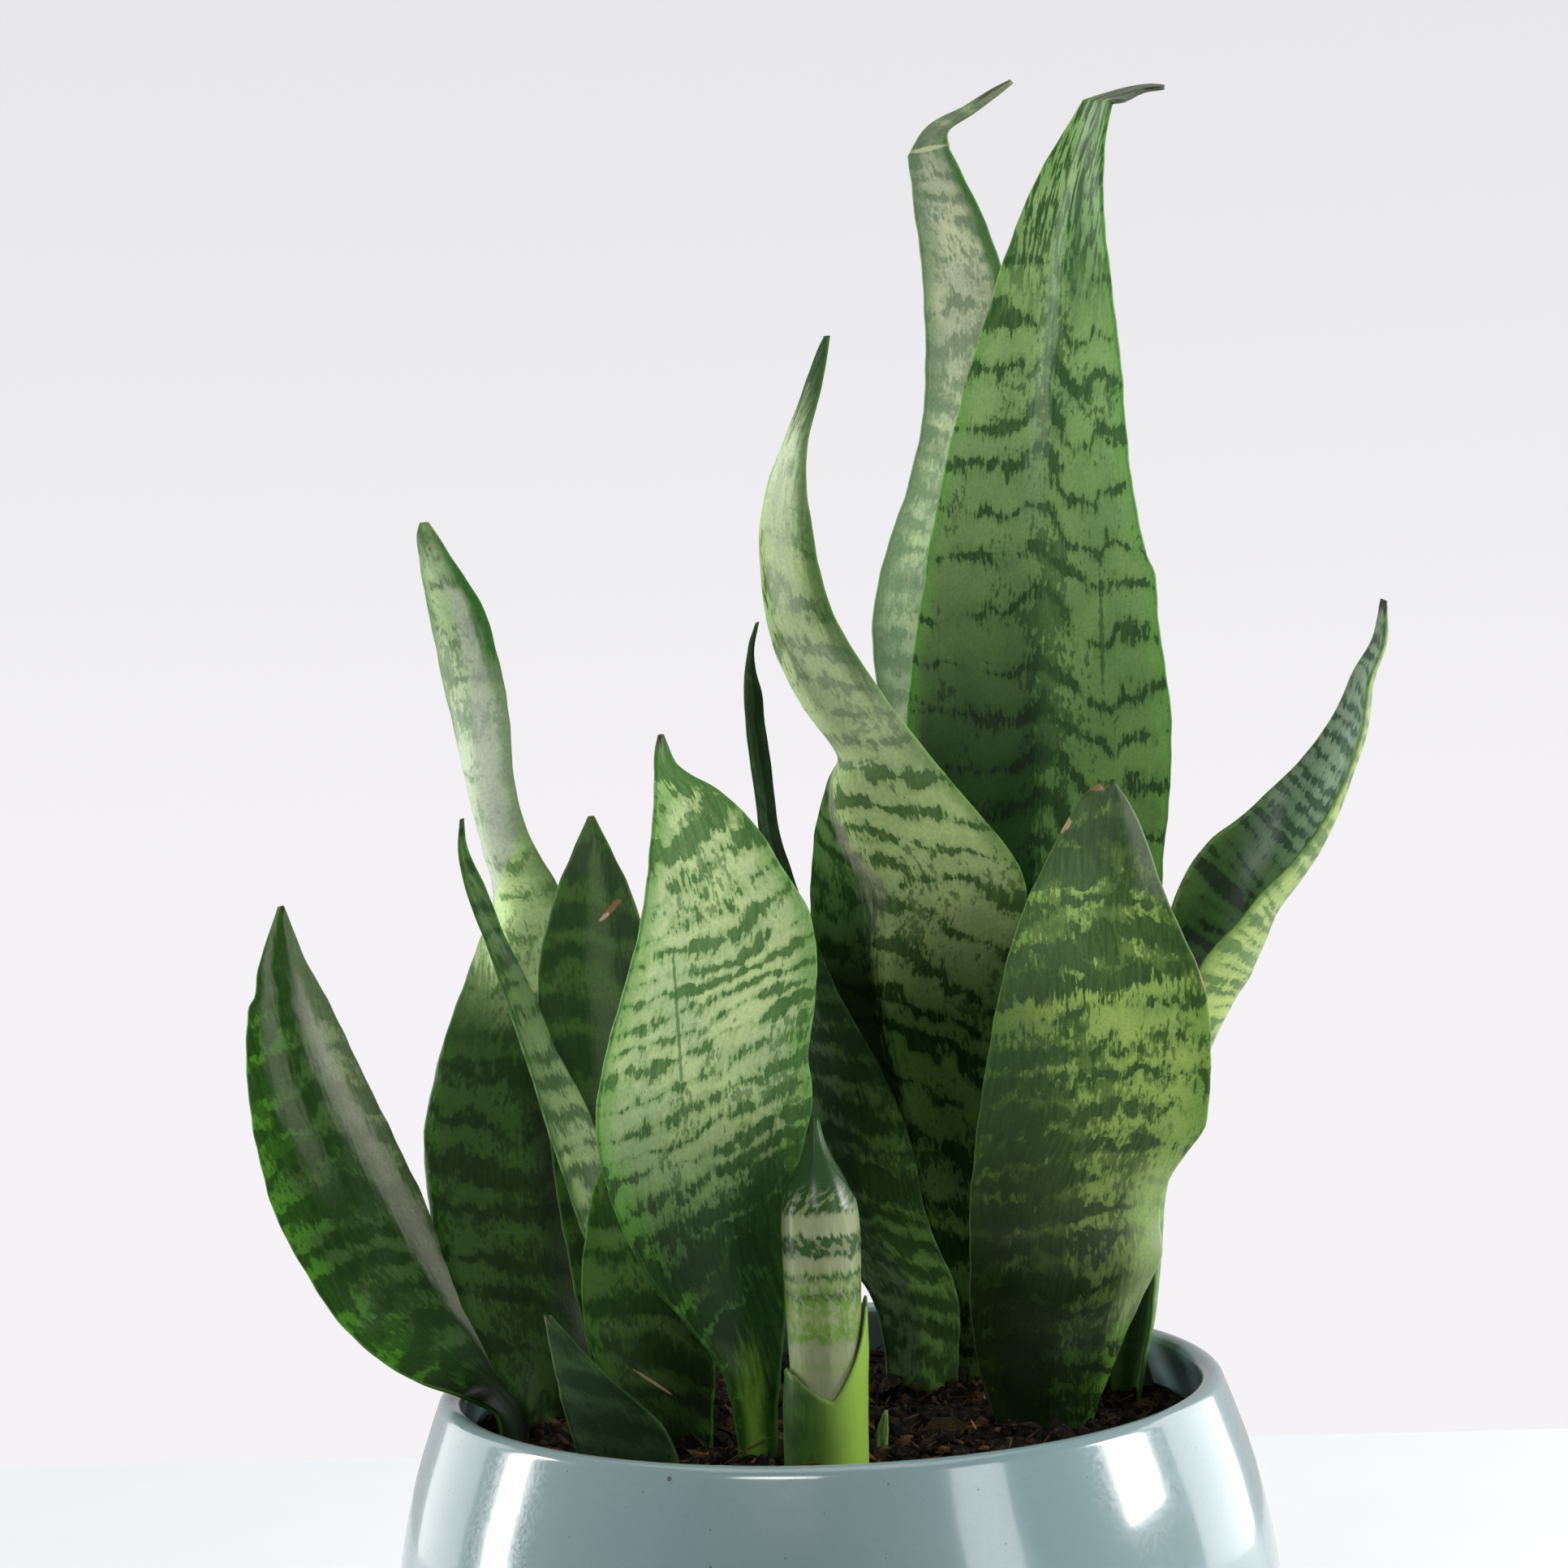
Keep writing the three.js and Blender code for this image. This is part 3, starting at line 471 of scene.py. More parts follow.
def leafFinish(name, leaf):
    look = {**leafLook, **leaf}
    material, tree, shader = startMaterial(name)
    space = attribute(tree, "leafSpace")
    s, toTip, fromEdge = parted(attribute(tree, "leafPlace"))
    along, side = parted(space)[1:]
    seed = float(look["seed"])
    fibres = placeGroup(fibreGroup, Space=space, Seed=seed)
    edge = placeGroup(marginGroup, Space=space, FromEdge=fromEdge, Seed=seed, Line=look["line"],
                      Border=look["border"])

    stray = fibres["Streak"] - 0.5                # keeps the edges of the zones uneven
    byStreak, byPatch = leafSurface["strayAlong"]
    zoneS = stray * leafSurface["strayAcross"] + s
    zoneAlong = stray * byStreak + along + (fibres["Patch"] - 0.5) * byPatch
    fromRidge = zoneS
    if "ridgeRun" in look:                        # the ridge moves across with the height
        fromRidge = zoneS - fade(along, *look["ridgeRun"], kind="LINEAR")
    # On most leaves the tones rise from dark low down to light higher up: partly the leaf's own darker base,
    # partly painted shade low down between the leaves and painted sheen on the upper blade
    rise = fade(along, *look["rise"])             # heights along the leaf where the colour changes over

    # On some leaves the tones left of the ridge and the back tones are painted light: painted shade on a half
    # turned away from the light, painted sheen on a half that catches it
    def grade(key):                               # low and high tone, and those left of the ridge
        made = blended(rise, *look[key])
        label = key.capitalize()
        if "left" + label in look:
            leftRise = fade(along, *look.get("leftRise", look["rise"]))
            left = blended(leftRise, *look["left" + label])
            soft = leafSurface["ridgeSoft"]
            made = blended(fade(fromRidge, -soft, soft), left, made)
        if "back" + label in look:
            made = blended(side, made, look["back" + label])
        return made

    width, mottle, shift = look["width"], look["mottle"], 0.0
    for each in look["wider"]:                    # mm that the bands gain there, so that they run together
        width = zoneMask(zoneS, zoneAlong, each) + width
    for each in look["flecked"]:                  # the same for the flecks between them
        mottle = zoneMask(zoneS, zoneAlong, each) + mottle
    for place, wide, fall in look["steps"]:       # mm that every band falls there, going right
        shift = fade(s, place - wide, place + wide, 0.0, fall) + shift
    for start, end, more in look["crowded"]:      # mm of pattern more between two heights
        shift = fade(along, start, end, 0.0, more, kind="LINEAR") + shift
    plain = {label: look[label.lower()] for label in
             ("Spacing", "Slope", "Chevron", "Wave", "Fringe", "Patches", "Soft")}
    bands = placeGroup(bandGroup, Space=space, Seed=seed, Width=width, Mottle=mottle, Shift=shift, **plain)
    dark, shade = bands["Dark"], bands["Shade"]
    if "streaks" in look:                         # lengthwise streaks take over from the bands
        start, end, share = look["streaks"]
        swap = fade(along, start, end)
        streak = fade(fibres["Streak"] + dark * 0.06, 0.74 - 0.4 * share, 0.84 - 0.4 * share)
        dark = dark + (streak - dark) * swap
        shade = shade + (streak - shade) * swap

    patch = fade(fibres["Patch"], 0.35, 0.68) * look["patchy"]
    light = blended(patch, grade("light"), leafSurface["patchTint"], "MULTIPLY")
    colour = blended(shade * look["shading"], light, grade("mid"))
    # The border is the leaf's greener margin, partly its own colour and partly painted glow of light through
    # the thin edge
    border = edge["Border"] * look["borderAmount"]
    if "borderSide" in look:                      # only along the left (-1) or the right (1) margin
        border = border * fade(s, 0.0, 0.4 * look["borderSide"])
    colour = blended(border, colour, look["borderColour"])
    contrast = fade(fibres["Streak"], 0.3, 0.7, look["contrast"] * 0.76, look["contrast"])
    colour = blended(dark * contrast, colour, grade("dark"))
    for each in look["ridgeZones"]:               # their s counts from the ridge
        colour = blended(zoneMask(fromRidge, zoneAlong, each), colour, each["colour"])
    for each in look["zones"]:
        colour = blended(zoneMask(zoneS, zoneAlong, each), colour, each["colour"])
    grain = fade(fibres["Fibre"], 0.3, 0.7, 0.97, 1.02) * fade(fibres["Grain"], 0.3, 0.7, 0.9, 1.08)
    colour = blended(edge["Line"] * look["lineAmount"], shaded(colour, grain), look["lineColour"])
    here = placeInMm(tree)
    for shape, tint, amount in look["marks"]:
        spot = placeGroup(markGroup, Place=here, **shape)["Mark"]
        colour = blended(spot * amount, colour, tint)
    if "dry" in look:                             # the last millimetres of the tip have dried
        dryness = fade(fibres["Fibre"] * 5.0 + toTip, look["dry"] * 0.8 + 2, look["dry"] + 4, 1.0, 0.0)
        dry = blended(fade(fibres["Fibre"], 0.35, 0.65), leafSurface["dryDark"], look["dryColour"])
        colour = blended(dryness, colour, dry)

    height = fibres["Fibre"] * 0.5 + fibres["Grain"]
    feed(shader, {
        "Base Color": colour,
        "Roughness": fade(fibres["Patch"], 0.3, 0.7, *leafSurface["roughness"]),
        "Normal": addBump(height, leafSurface["bump"], leafSurface["bumpDepth"]),
        "Specular IOR Level": look["gloss"],
        "Coat Weight": look["coat"],
        "Coat Roughness": leafSurface["coatRoughness"],
    })
    return material


def growLeaf(node, leaf):
    piece = buildLeaf(node + "_blade", leaf)
    piece.data.materials.append(leafFinish(node + "_finish", leaf))
    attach(piece, "root")
    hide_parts(node)


# The leaves: rows read left margin x y z, right margin x y z and bow, from root to tip, in mm

leafFarLeft = dict(
    rows=[
        (-58.5, -7, 101, -55, 1, 101, -1.5), (-58.7, -7.5, 111, -55.8, 1, 110.5, -1.5),
        (-59.4, -8, 116.5, -57.4, 1.5, 114.5, -1.5), (-61.9, -10, 118.9, -58.5, 2.5, 117, -2),
        (-65.6, -13.5, 121.6, -60.1, 3.5, 119.9, -2), (-71.3, -12, 123.4, -61.5, 4.5, 122.8, -2.5),
        (-77.9, -9, 126.3, -63.6, 5.5, 127.6, -3), (-85.8, -4, 131.9, -66.8, 7, 134, -4),
        (-93.3, 0, 141.8, -69.7, 8, 142.9, -4.5), (-99, 2, 153.2, -72.8, 9, 152.7, -5),
        (-102.1, 4, 165.5, -78.4, 10, 165.3, -4.5), (-103.4, 5, 177.6, -84, 11, 177.7, -4),
        (-103, 5.5, 186.3, -87.7, 12, 185.7, -3.2), (-102.7, 6, 189.5, -89.5, 12, 190, -2.6),
        (-101.8, 6, 191, -90.2, 12, 191.4, -2.4), (-101.5, 6.5, 192.8, -91, 12, 193, -2.2),
        (-101, 7, 196, -92.9, 12, 196.2, -1.8), (-99.5, 9, 201.5, -95.1, 12, 202.2, -1),
        (-97.6, 11, 207.2, -96.8, 12, 207.4, 0),
    ],
    seed=1, spacing=8, width=4.6, slope=-0.3, chevron=0.25, soft=0.6, patchy=0.3, gloss=0.05, keel=0.3,
    dry=0.5,
    rise=(10, 70), ridgeRun=(26, 118, 1, 0.03), light=((70, 84, 56), (108, 124, 90)),
    mid=((56, 70, 42), (88, 106, 70)), dark=((40, 54, 28), (66, 86, 52)),
    # The left tones and the wide left border are the bright green left margin, partly its own colour and
    # partly painted glow of light through the thin edge
    leftLight=((50, 78, 38), (60, 88, 44)), leftMid=((40, 66, 30), (44, 74, 30)),
    leftDark=((27, 51, 20), (27, 56, 19)), lineColour=(84, 128, 46), border=8, borderAmount=0.85,
    borderColour=(70, 126, 32), borderSide=-1,
    wider=[zone(-1.2, s=0.3, wide=0.5), zone(5, after=(96, 104))],
    # Painted shade: the foot is painted almost black where it goes down into the shadow inside the pot
    zones=[zone(0.96, (7, 17, 4), upTo=(18, 34))],
    ridgeZones=[
        # Painted sheen: two pale grey streaks along the blade, partly waxy bloom and partly painted
        # reflection of the bright room
        zone(0.42, (122, 134, 108), s=-0.78, wide=0.26, after=(58, 84)),
        zone(0.6, (138, 140, 126), s=0.02, wide=0.32, after=(10, 44), upTo=(96, 112)),
    ],
)
growLeaf("leaf_far_left", leafFarLeft)

leafTallLeft = dict(
    rows=[
        (-58.5, 9, 101, -48.5, 12, 101, -1.5), (-59.5, 10, 112, -47, 13, 112, -2),
        (-62, 12, 120, -44.5, 16, 119, -2.5), (-68, 13, 132, -43.5, 20, 130, -3),
        (-72, 14, 147, -44.5, 23, 145, -3.5), (-73, 14, 163, -45.5, 24, 161.5, -4),
        (-70.5, 15, 175.5, -45, 24, 174, -4), (-67, 17, 186, -44.7, 23, 184.5, -4.5),
        (-62, 20, 198.5, -45.2, 20, 197.5, -5), (-59, 23, 206.5, -46, 16, 207.5, -5),
        (-60.3, 22, 217, -50.8, 13, 217.5, -4), (-62.4, 20, 228, -53.2, 10, 228, -3.5),
        (-64.8, 18, 240, -53.6, 9, 240.5, -3), (-66.6, 16, 250.5, -55, 9, 250, -2.5),
        (-68, 14.5, 260, -57.4, 9, 260, -2), (-69, 13.5, 268, -61.6, 9, 267.5, -1.5),
        (-69.5, 12, 274.6, -66, 11, 274.8, -0.3), (-68.9, 12, 276.6, -67.2, 11.5, 276.6, 0),
    ],
    seed=2, spacing=8.6, width=2.8, chevron=-0.2, soft=0.55, fringe=0.7, patches=1.4, patchy=0.25,
    gloss=0.06, keel=0.35,
    rise=(80, 94), leftRise=(132, 164), ridgeRun=(106, 122, -1, 1), light=((58, 86, 42), (176, 202, 140)),
    mid=((48, 72, 34), (156, 184, 118)), dark=((32, 52, 25), (96, 132, 74)),
    # The pale grey left tones of the upper blade are partly painted sheen, the reflection of the bright room
    # on the waxy surface
    leftLight=((176, 190, 162), (132, 154, 112)), leftMid=((166, 182, 148), (110, 132, 92)),
    leftDark=((126, 144, 114), (74, 98, 62)), lineColour=(70, 108, 42), border=3, borderAmount=0.6,
    borderColour=(48, 92, 24),
    wider=[zone(-1.2, after=(96, 110)), zone(-2, after=(100, 108), upTo=(126, 138))],
    flecked=[zone(0.3, s=-0.3, wide=0.9, after=(112, 122))],
    zones=[
        # Painted shade: the right part of the broad lower blade is painted nearly black
        zone(0.75, (13, 27, 9), s=0.75, wide=0.75, upTo=(70, 84)),
        # Painted sheen: a pale grey streak on the right of the upper blade
        zone(0.5, (168, 174, 160), s=0.4, wide=0.4, after=(116, 124), upTo=(166, 172)),
        zone(0.8, (42, 72, 28), s=-1, wide=1.2, after=(74, 84), upTo=(93, 101)),
        zone(0.95, (46, 92, 38), s=1, wide=0.5, after=(148, 156), upTo=(172, 180)),
    ],
)
growLeaf("leaf_tall_left", leafTallLeft)

leafPointedLeft = dict(
    rows=[
        (-42, 8, 101, -33, 8, 101, 1), (-42, 8, 113, -33, 8, 113, 1.5), (-46.5, 7, 140, -29, 8, 139, 2.5),
        (-48.7, 6, 158, -27.5, 8, 157, 3), (-50, 6, 180, -27, 8.5, 178, 3),
        (-50, 7, 194.5, -29, 10, 193.5, 2.5), (-48, 8, 202.5, -31.2, 11, 202, 2),
        (-45.6, 9, 210, -33.6, 12, 209.5, 1.2), (-42.8, 11, 216, -36.4, 13, 215.5, 0.6),
        (-40.3, 13, 221.5, -39.1, 13, 221.5, 0),
    ],
    seed=3, spacing=9, width=4.2, slope=0.2, chevron=0.3, soft=0.9, mottle=0.6, patchy=0.3, dry=0.5,
    rise=(30, 90), light=((36, 62, 22), (56, 84, 38)), mid=((28, 52, 18), (46, 74, 32)),
    dark=((18, 40, 12), (30, 54, 22)), lineColour=(80, 112, 42), border=2, borderColour=(52, 92, 26),
    # Painted highlight: a pale line along the midrib groove
    zones=[zone(0.4, (98, 118, 80), s=0.1, wide=0.4, after=(52, 76), upTo=(112, 120))],
    marks=[
        mark(-36.5, 204.5, 3.4, 0.7, (126, 92, 64), turn=42, ragged=0.8),
        mark(-37.9, 203, 1.2, 0.5, (178, 156, 130), turn=42, ragged=0.6),
    ],
)
growLeaf("leaf_pointed_left", leafPointedLeft)

leafNarrowLeft = dict(
    rows=[
        (-36.5, -2, 101, -30.5, -2, 101, 1), (-37, -2, 114, -30.5, -2, 114, 1),
        (-39.6, -3, 135.5, -33.5, 2, 135, 1.5), (-43, -4, 149, -37.4, 4, 150.5, 2),
        (-47.6, -6, 165.5, -41.5, 5, 167.5, 2), (-51.2, -8, 180, -47.2, 2, 180.5, 1.5),
        (-54.3, -8, 190, -50.6, -1, 191, 1), (-57.7, -8, 200.5, -54.7, -4.5, 201, 0.5),
        (-60.6, -8, 208.5, -57.4, -6, 209.5, 0.3), (-61.9, -8, 216.5, -60.4, -7, 217, 0.2),
        (-61.5, -8, 222, -60.7, -8, 222.3, 0),
    ],
    seed=4, spacing=6, width=2, slope=0.2, soft=0.6, fringe=0.7, patches=1.3, mottle=0.6, gloss=0.06,
    coat=0, dry=0.5,
    rise=(60, 104), light=((136, 158, 108), (62, 90, 50)), mid=((106, 128, 82), (48, 76, 38)),
    dark=((64, 90, 52), (32, 58, 25)), line=0.25, lineColour=(60, 96, 40), border=1.4, borderAmount=0.4,
    borderColour=(54, 92, 34),
)
growLeaf("leaf_narrow_left", leafNarrowLeft)

leafFrontBroad = dict(
    rows=[
        (-16, -26, 100, -9.6, -24, 100, 1.5), (-16, -26, 110.5, -9.6, -24, 110.5, 1.8),
        (-16.6, -27, 118.5, -9.4, -23.5, 118.5, 2), (-18.2, -28, 126.2, -8.4, -23, 126.2, 2.2),
        (-23.5, -29, 134.5, -7.2, -21.5, 136, 2.5), (-30, -30, 143, -7, -20.5, 145.5, 2.5),
        (-34.5, -31, 153, -5.2, -20, 155, 2.5), (-37.2, -32, 162.5, -3.2, -20, 163.5, 2.5),
        (-37.8, -33, 170, -1.3, -20.5, 171, 2.5), (-36.7, -33, 178, -1.6, -21, 179, 2.5),
        (-34.4, -33, 186, -0.3, -22, 188, 2.5), (-31.5, -33, 195, 0.5, -23, 196, 2.5),
        (-29, -32, 203.5, -0.6, -24, 204, 2.2), (-27.7, -32, 211, -4.3, -24, 211, 2),
        (-26.7, -31, 218, -9.4, -25, 219.5, 1.5), (-26, -30, 224.5, -15.2, -26, 225.5, 1),
        (-25.9, -29.2, 228, -19.6, -26.2, 228.2, 0.6), (-25.8, -28.4, 230.6, -22.2, -26.4, 230.4, 0.4),
        (-25.5, -27.8, 233, -23.3, -26.3, 233, 0.2), (-25, -27, 235.2, -24.2, -26, 235.2, 0),
    ],
    seed=5, spacing=6.2, width=1.4, slope=-0.5, chevron=-0.15, wave=3, fringe=0.9, patches=1.9, patchy=0.5,
    shading=0.75, gloss=0.1, crowded=[(62, 104, 18)], dry=1.5,
    rise=(46, 88), light=((50, 82, 38), (150, 170, 124)), mid=((35, 65, 25), (112, 142, 84)),
    dark=((14, 38, 11), (58, 94, 44)), line=0.4, lineColour=(48, 90, 30), border=4.5, borderAmount=0.6,
    borderColour=(72, 126, 34),
    wider=[
        zone(7, after=(130, 133)), zone(3.6, upTo=(42, 66)), zone(3, s=1, wide=0.7, upTo=(66, 84)),
        zone(-1.6, s=-0.85, wide=0.6, after=(50, 66)), zone(1.2, after=(98, 112)),
    ],
    zones=[zone(0.8, (96, 132, 44), s=-0.1, wide=0.9, upTo=(18, 34))],
    marks=[
        mark(4.6, 200, 1, 0.7, (140, 104, 66)),
        mark(-23.6, 185.8, 0.35, 18.5, (58, 94, 44), turn=1.2, ragged=0.8, amount=0.75),
    ],
)
growLeaf("leaf_front_broad", leafFrontBroad)

leafLowLeft = dict(
    rows=[
        (-32, -17, 101, -21.5, -17, 101, 1.5), (-32.5, -17.5, 111, -21, -17.5, 111, 2),
        (-37, -18, 121, -20.5, -16, 119, 2.5), (-41, -19, 129, -20, -15, 127.5, 2.5),
        (-42.4, -19, 138, -21, -14.5, 137, 2.5), (-41.8, -19, 147, -22.5, -14.5, 146, 2),
        (-40, -18, 156, -25.5, -14.5, 155, 1.5), (-37, -16.5, 164, -30, -15, 163.5, 0.6),
        (-34, -15.5, 169, -33, -15.5, 169, 0),
    ],
    seed=6, spacing=8, width=4, slope=0.3, chevron=0.2, wave=2.4, soft=0.9, mottle=0.6, patchy=0.3,
    gloss=0.04, coat=0, dry=0.5,
    rise=(10, 56), light=((18, 38, 10), (80, 110, 56)), mid=((13, 30, 8), (60, 90, 42)),
    dark=((8, 20, 5), (36, 66, 27)), line=0.25, lineColour=(60, 92, 34), borderColour=(58, 98, 28),
    marks=[mark(-30.8, 123, 4.9, 0.3, (128, 108, 80), turn=-37)],
)
growLeaf("leaf_low_left", leafLowLeft)

leafShortLeft = dict(
    rows=[
        (-41, -34, 101, -27, -34, 101, 1.5), (-42.5, -35, 113, -26, -35, 113, 2),
        (-44, -35, 119, -28, -34.5, 119, 2), (-45.4, -34.5, 125, -34, -34, 125, 1.3),
        (-46.6, -34, 131, -40, -33.5, 131, 0.7), (-47.9, -32.5, 138.5, -46.6, -32.5, 138.5, 0),
    ],
    seed=7, spacing=8, width=4.2, slope=0.4, wave=2, soft=1.2, patches=1.5, mottle=0.4, patchy=0.5, dry=0.8,
    rise=(5, 30), light=((20, 38, 15), (46, 70, 40)), mid=((16, 34, 12), (34, 58, 30)),
    dark=((12, 28, 9), (24, 48, 21)), line=0.25, lineColour=(66, 90, 44), border=1.6, borderAmount=0.4,
    borderColour=(48, 80, 28),
    marks=[mark(-30.8, 123, 4.9, 0.3, (128, 108, 80), turn=-37)],
)
growLeaf("leaf_short_left", leafShortLeft)

leafCurvedMiddle = dict(
    rows=[
        (20.5, 40, 101, 33, 36.5, 101, -1.5), (20.3, 40.5, 111, 33.3, 36.5, 111, -2),
        (17.8, 41, 121, 34, 34.5, 121, -2.5), (15, 41, 132, 34.8, 32, 132.5, -3),
        (8.7, 40, 154, 36, 27, 155, -4), (3, 39, 175, 37.3, 22.5, 175, -7),
        (0.3, 37, 191, 38, 19, 191, -10), (0.4, 33, 205, 40, 15, 204, -12),
        (1, 30.5, 211, 38.5, 13.5, 209.5, -12), (2.2, 29, 219, 33.5, 11.5, 216.8, -11.5),
        (4.8, 27.5, 226.5, 26, 9.5, 226, -9.5), (7.3, 26.3, 232, 20.8, 8, 233, -7.5),
        (5, 25, 235.7, 17.8, 7, 237, -6.3), (1.7, 24, 239.3, 15, 6, 241, -5.5),
        (-2.3, 22.5, 246, 10.2, 4, 248.7, -4.5), (-5, 20.5, 253.8, 6.3, 3, 256, -4),
        (-6.1, 18, 262, 4.2, 2, 263.5, -4), (-6, 15, 273.5, 2.8, 1, 273, -3.5),
        (-3.7, 12, 281.3, 2.2, 0, 280, -3), (-0.3, 9, 288.5, 2.8, -1, 287.5, -2),
        (3, 4.5, 297.5, 5.5, -1, 296.5, -1), (6.4, 0, 306, 7.5, -0.5, 306, 0),
    ],
    seed=8, spacing=10.4, width=2.2, slope=0.4, chevron=0.35, wave=3.8, fringe=1.1, patches=2.3,
    mottle=0.74, patchy=0.5, gloss=0, coat=0, keel=0.35, crowded=[(108, 150, 26), (150, 200, 16)],
    streaks=(170, 192, 0.55),
    rise=(80, 118), leftRise=(86, 128), ridgeRun=(112, 138, -0.13, -0.98),
    light=((46, 68, 32), (132, 152, 102)), mid=((27, 49, 19), (100, 124, 74)),
    # The left tones are painted shade: the half left of the ridge is darkened because it is turned away from
    # the light
    dark=((8, 26, 6), (50, 78, 38)), leftLight=((9, 20, 6), (56, 84, 44)),
    leftMid=((7, 16, 4), (42, 70, 32)), leftDark=((4, 12, 3), (24, 48, 17)), line=0.4,
    lineColour=(78, 116, 40), borderColour=(46, 86, 24),
    zones=[
        # Painted shade: the low left half is painted almost black where it lies deep in shadow
        zone(0.9, (6, 18, 4), s=-0.85, wide=0.6, upTo=(70, 96)),
        # Painted sheen: pale grey streaks on the upper blade
        zone(0.32, (184, 198, 164), after=(124, 146), upTo=(156, 164)),
        zone(0.5, (186, 198, 168), s=0.25, wide=0.6, after=(150, 172), upTo=(196, 208)),
        zone(0.4, (186, 198, 168), after=(176, 190), upTo=(196, 208)),
        zone(0.7, (62, 90, 48), s=1, wide=0.4, after=(140, 154)), zone(0.9, (42, 63, 42), after=(194, 206)),
    ],
    # Painted sheen: a pale grey-pink streak along the keel
    ridgeZones=[zone(0.55, (122, 122, 106), s=-0.02, wide=0.2, after=(98, 116))],
)
growLeaf("leaf_curved_middle", leafCurvedMiddle)

leafDarkMiddle = dict(
    rows=[
        (11, 21, 101, 24, 27, 101, 1), (11, 21, 112, 24.3, 27, 112, 1.5), (8.8, 20, 129, 25, 27, 127.5, 2),
        (-1.6, 19, 145, 19.7, 26.5, 143, 2), (-4.2, 18, 156, 17.4, 25, 157, 2),
        (-4.4, 16, 171, 12.6, 22, 170.7, 2), (-3.6, 14.5, 185, 5.5, 18, 185, 1.5),
        (-4.6, 13, 195.5, 1.4, 16, 195, 1.2), (-6.1, 12, 204.6, -1.2, 15, 203.2, 1),
        (-7.8, 11, 212.2, -3.4, 14, 210.5, 0.9), (-8.8, 10, 218.5, -5, 13, 216.5, 0.8),
        (-9, 9.5, 223.4, -5.8, 12.5, 223.2, 0.7), (-9.7, 9, 229.3, -6.2, 12.5, 229.5, 0.8),
        (-10.2, 9, 236.8, -7, 12.5, 237, 0.8), (-10.3, 9, 242.3, -7.4, 12.5, 243, 0.7),
        (-10.1, 9.5, 246, -8.3, 12, 246.7, 0.4), (-9.3, 10, 251.2, -8.5, 11.5, 251.2, 0.2),
        (-8, 10.5, 255.6, -7.4, 11, 255.9, 0),
    ],
    seed=9, spacing=6.4, width=2.8, slope=0.3, wave=2.4, soft=0.8, fringe=0.8, patches=1.7, contrast=0.8,
    gloss=0.05,
    rise=(50, 100), light=((84, 116, 58), (30, 52, 24)), mid=((58, 88, 41), (22, 44, 17)),
    dark=((24, 50, 20), (11, 31, 8)), leftLight=((72, 96, 62), (70, 90, 68)),
    leftMid=((48, 72, 40), (44, 64, 42)), leftDark=((22, 46, 19), (18, 38, 16)), line=0.25, lineAmount=0.1,
    lineColour=(60, 84, 38), border=1.2, borderAmount=0.4, borderColour=(48, 78, 30),
    wider=[zone(3, after=(90, 110))],
)
growLeaf("leaf_dark_middle", leafDarkMiddle)

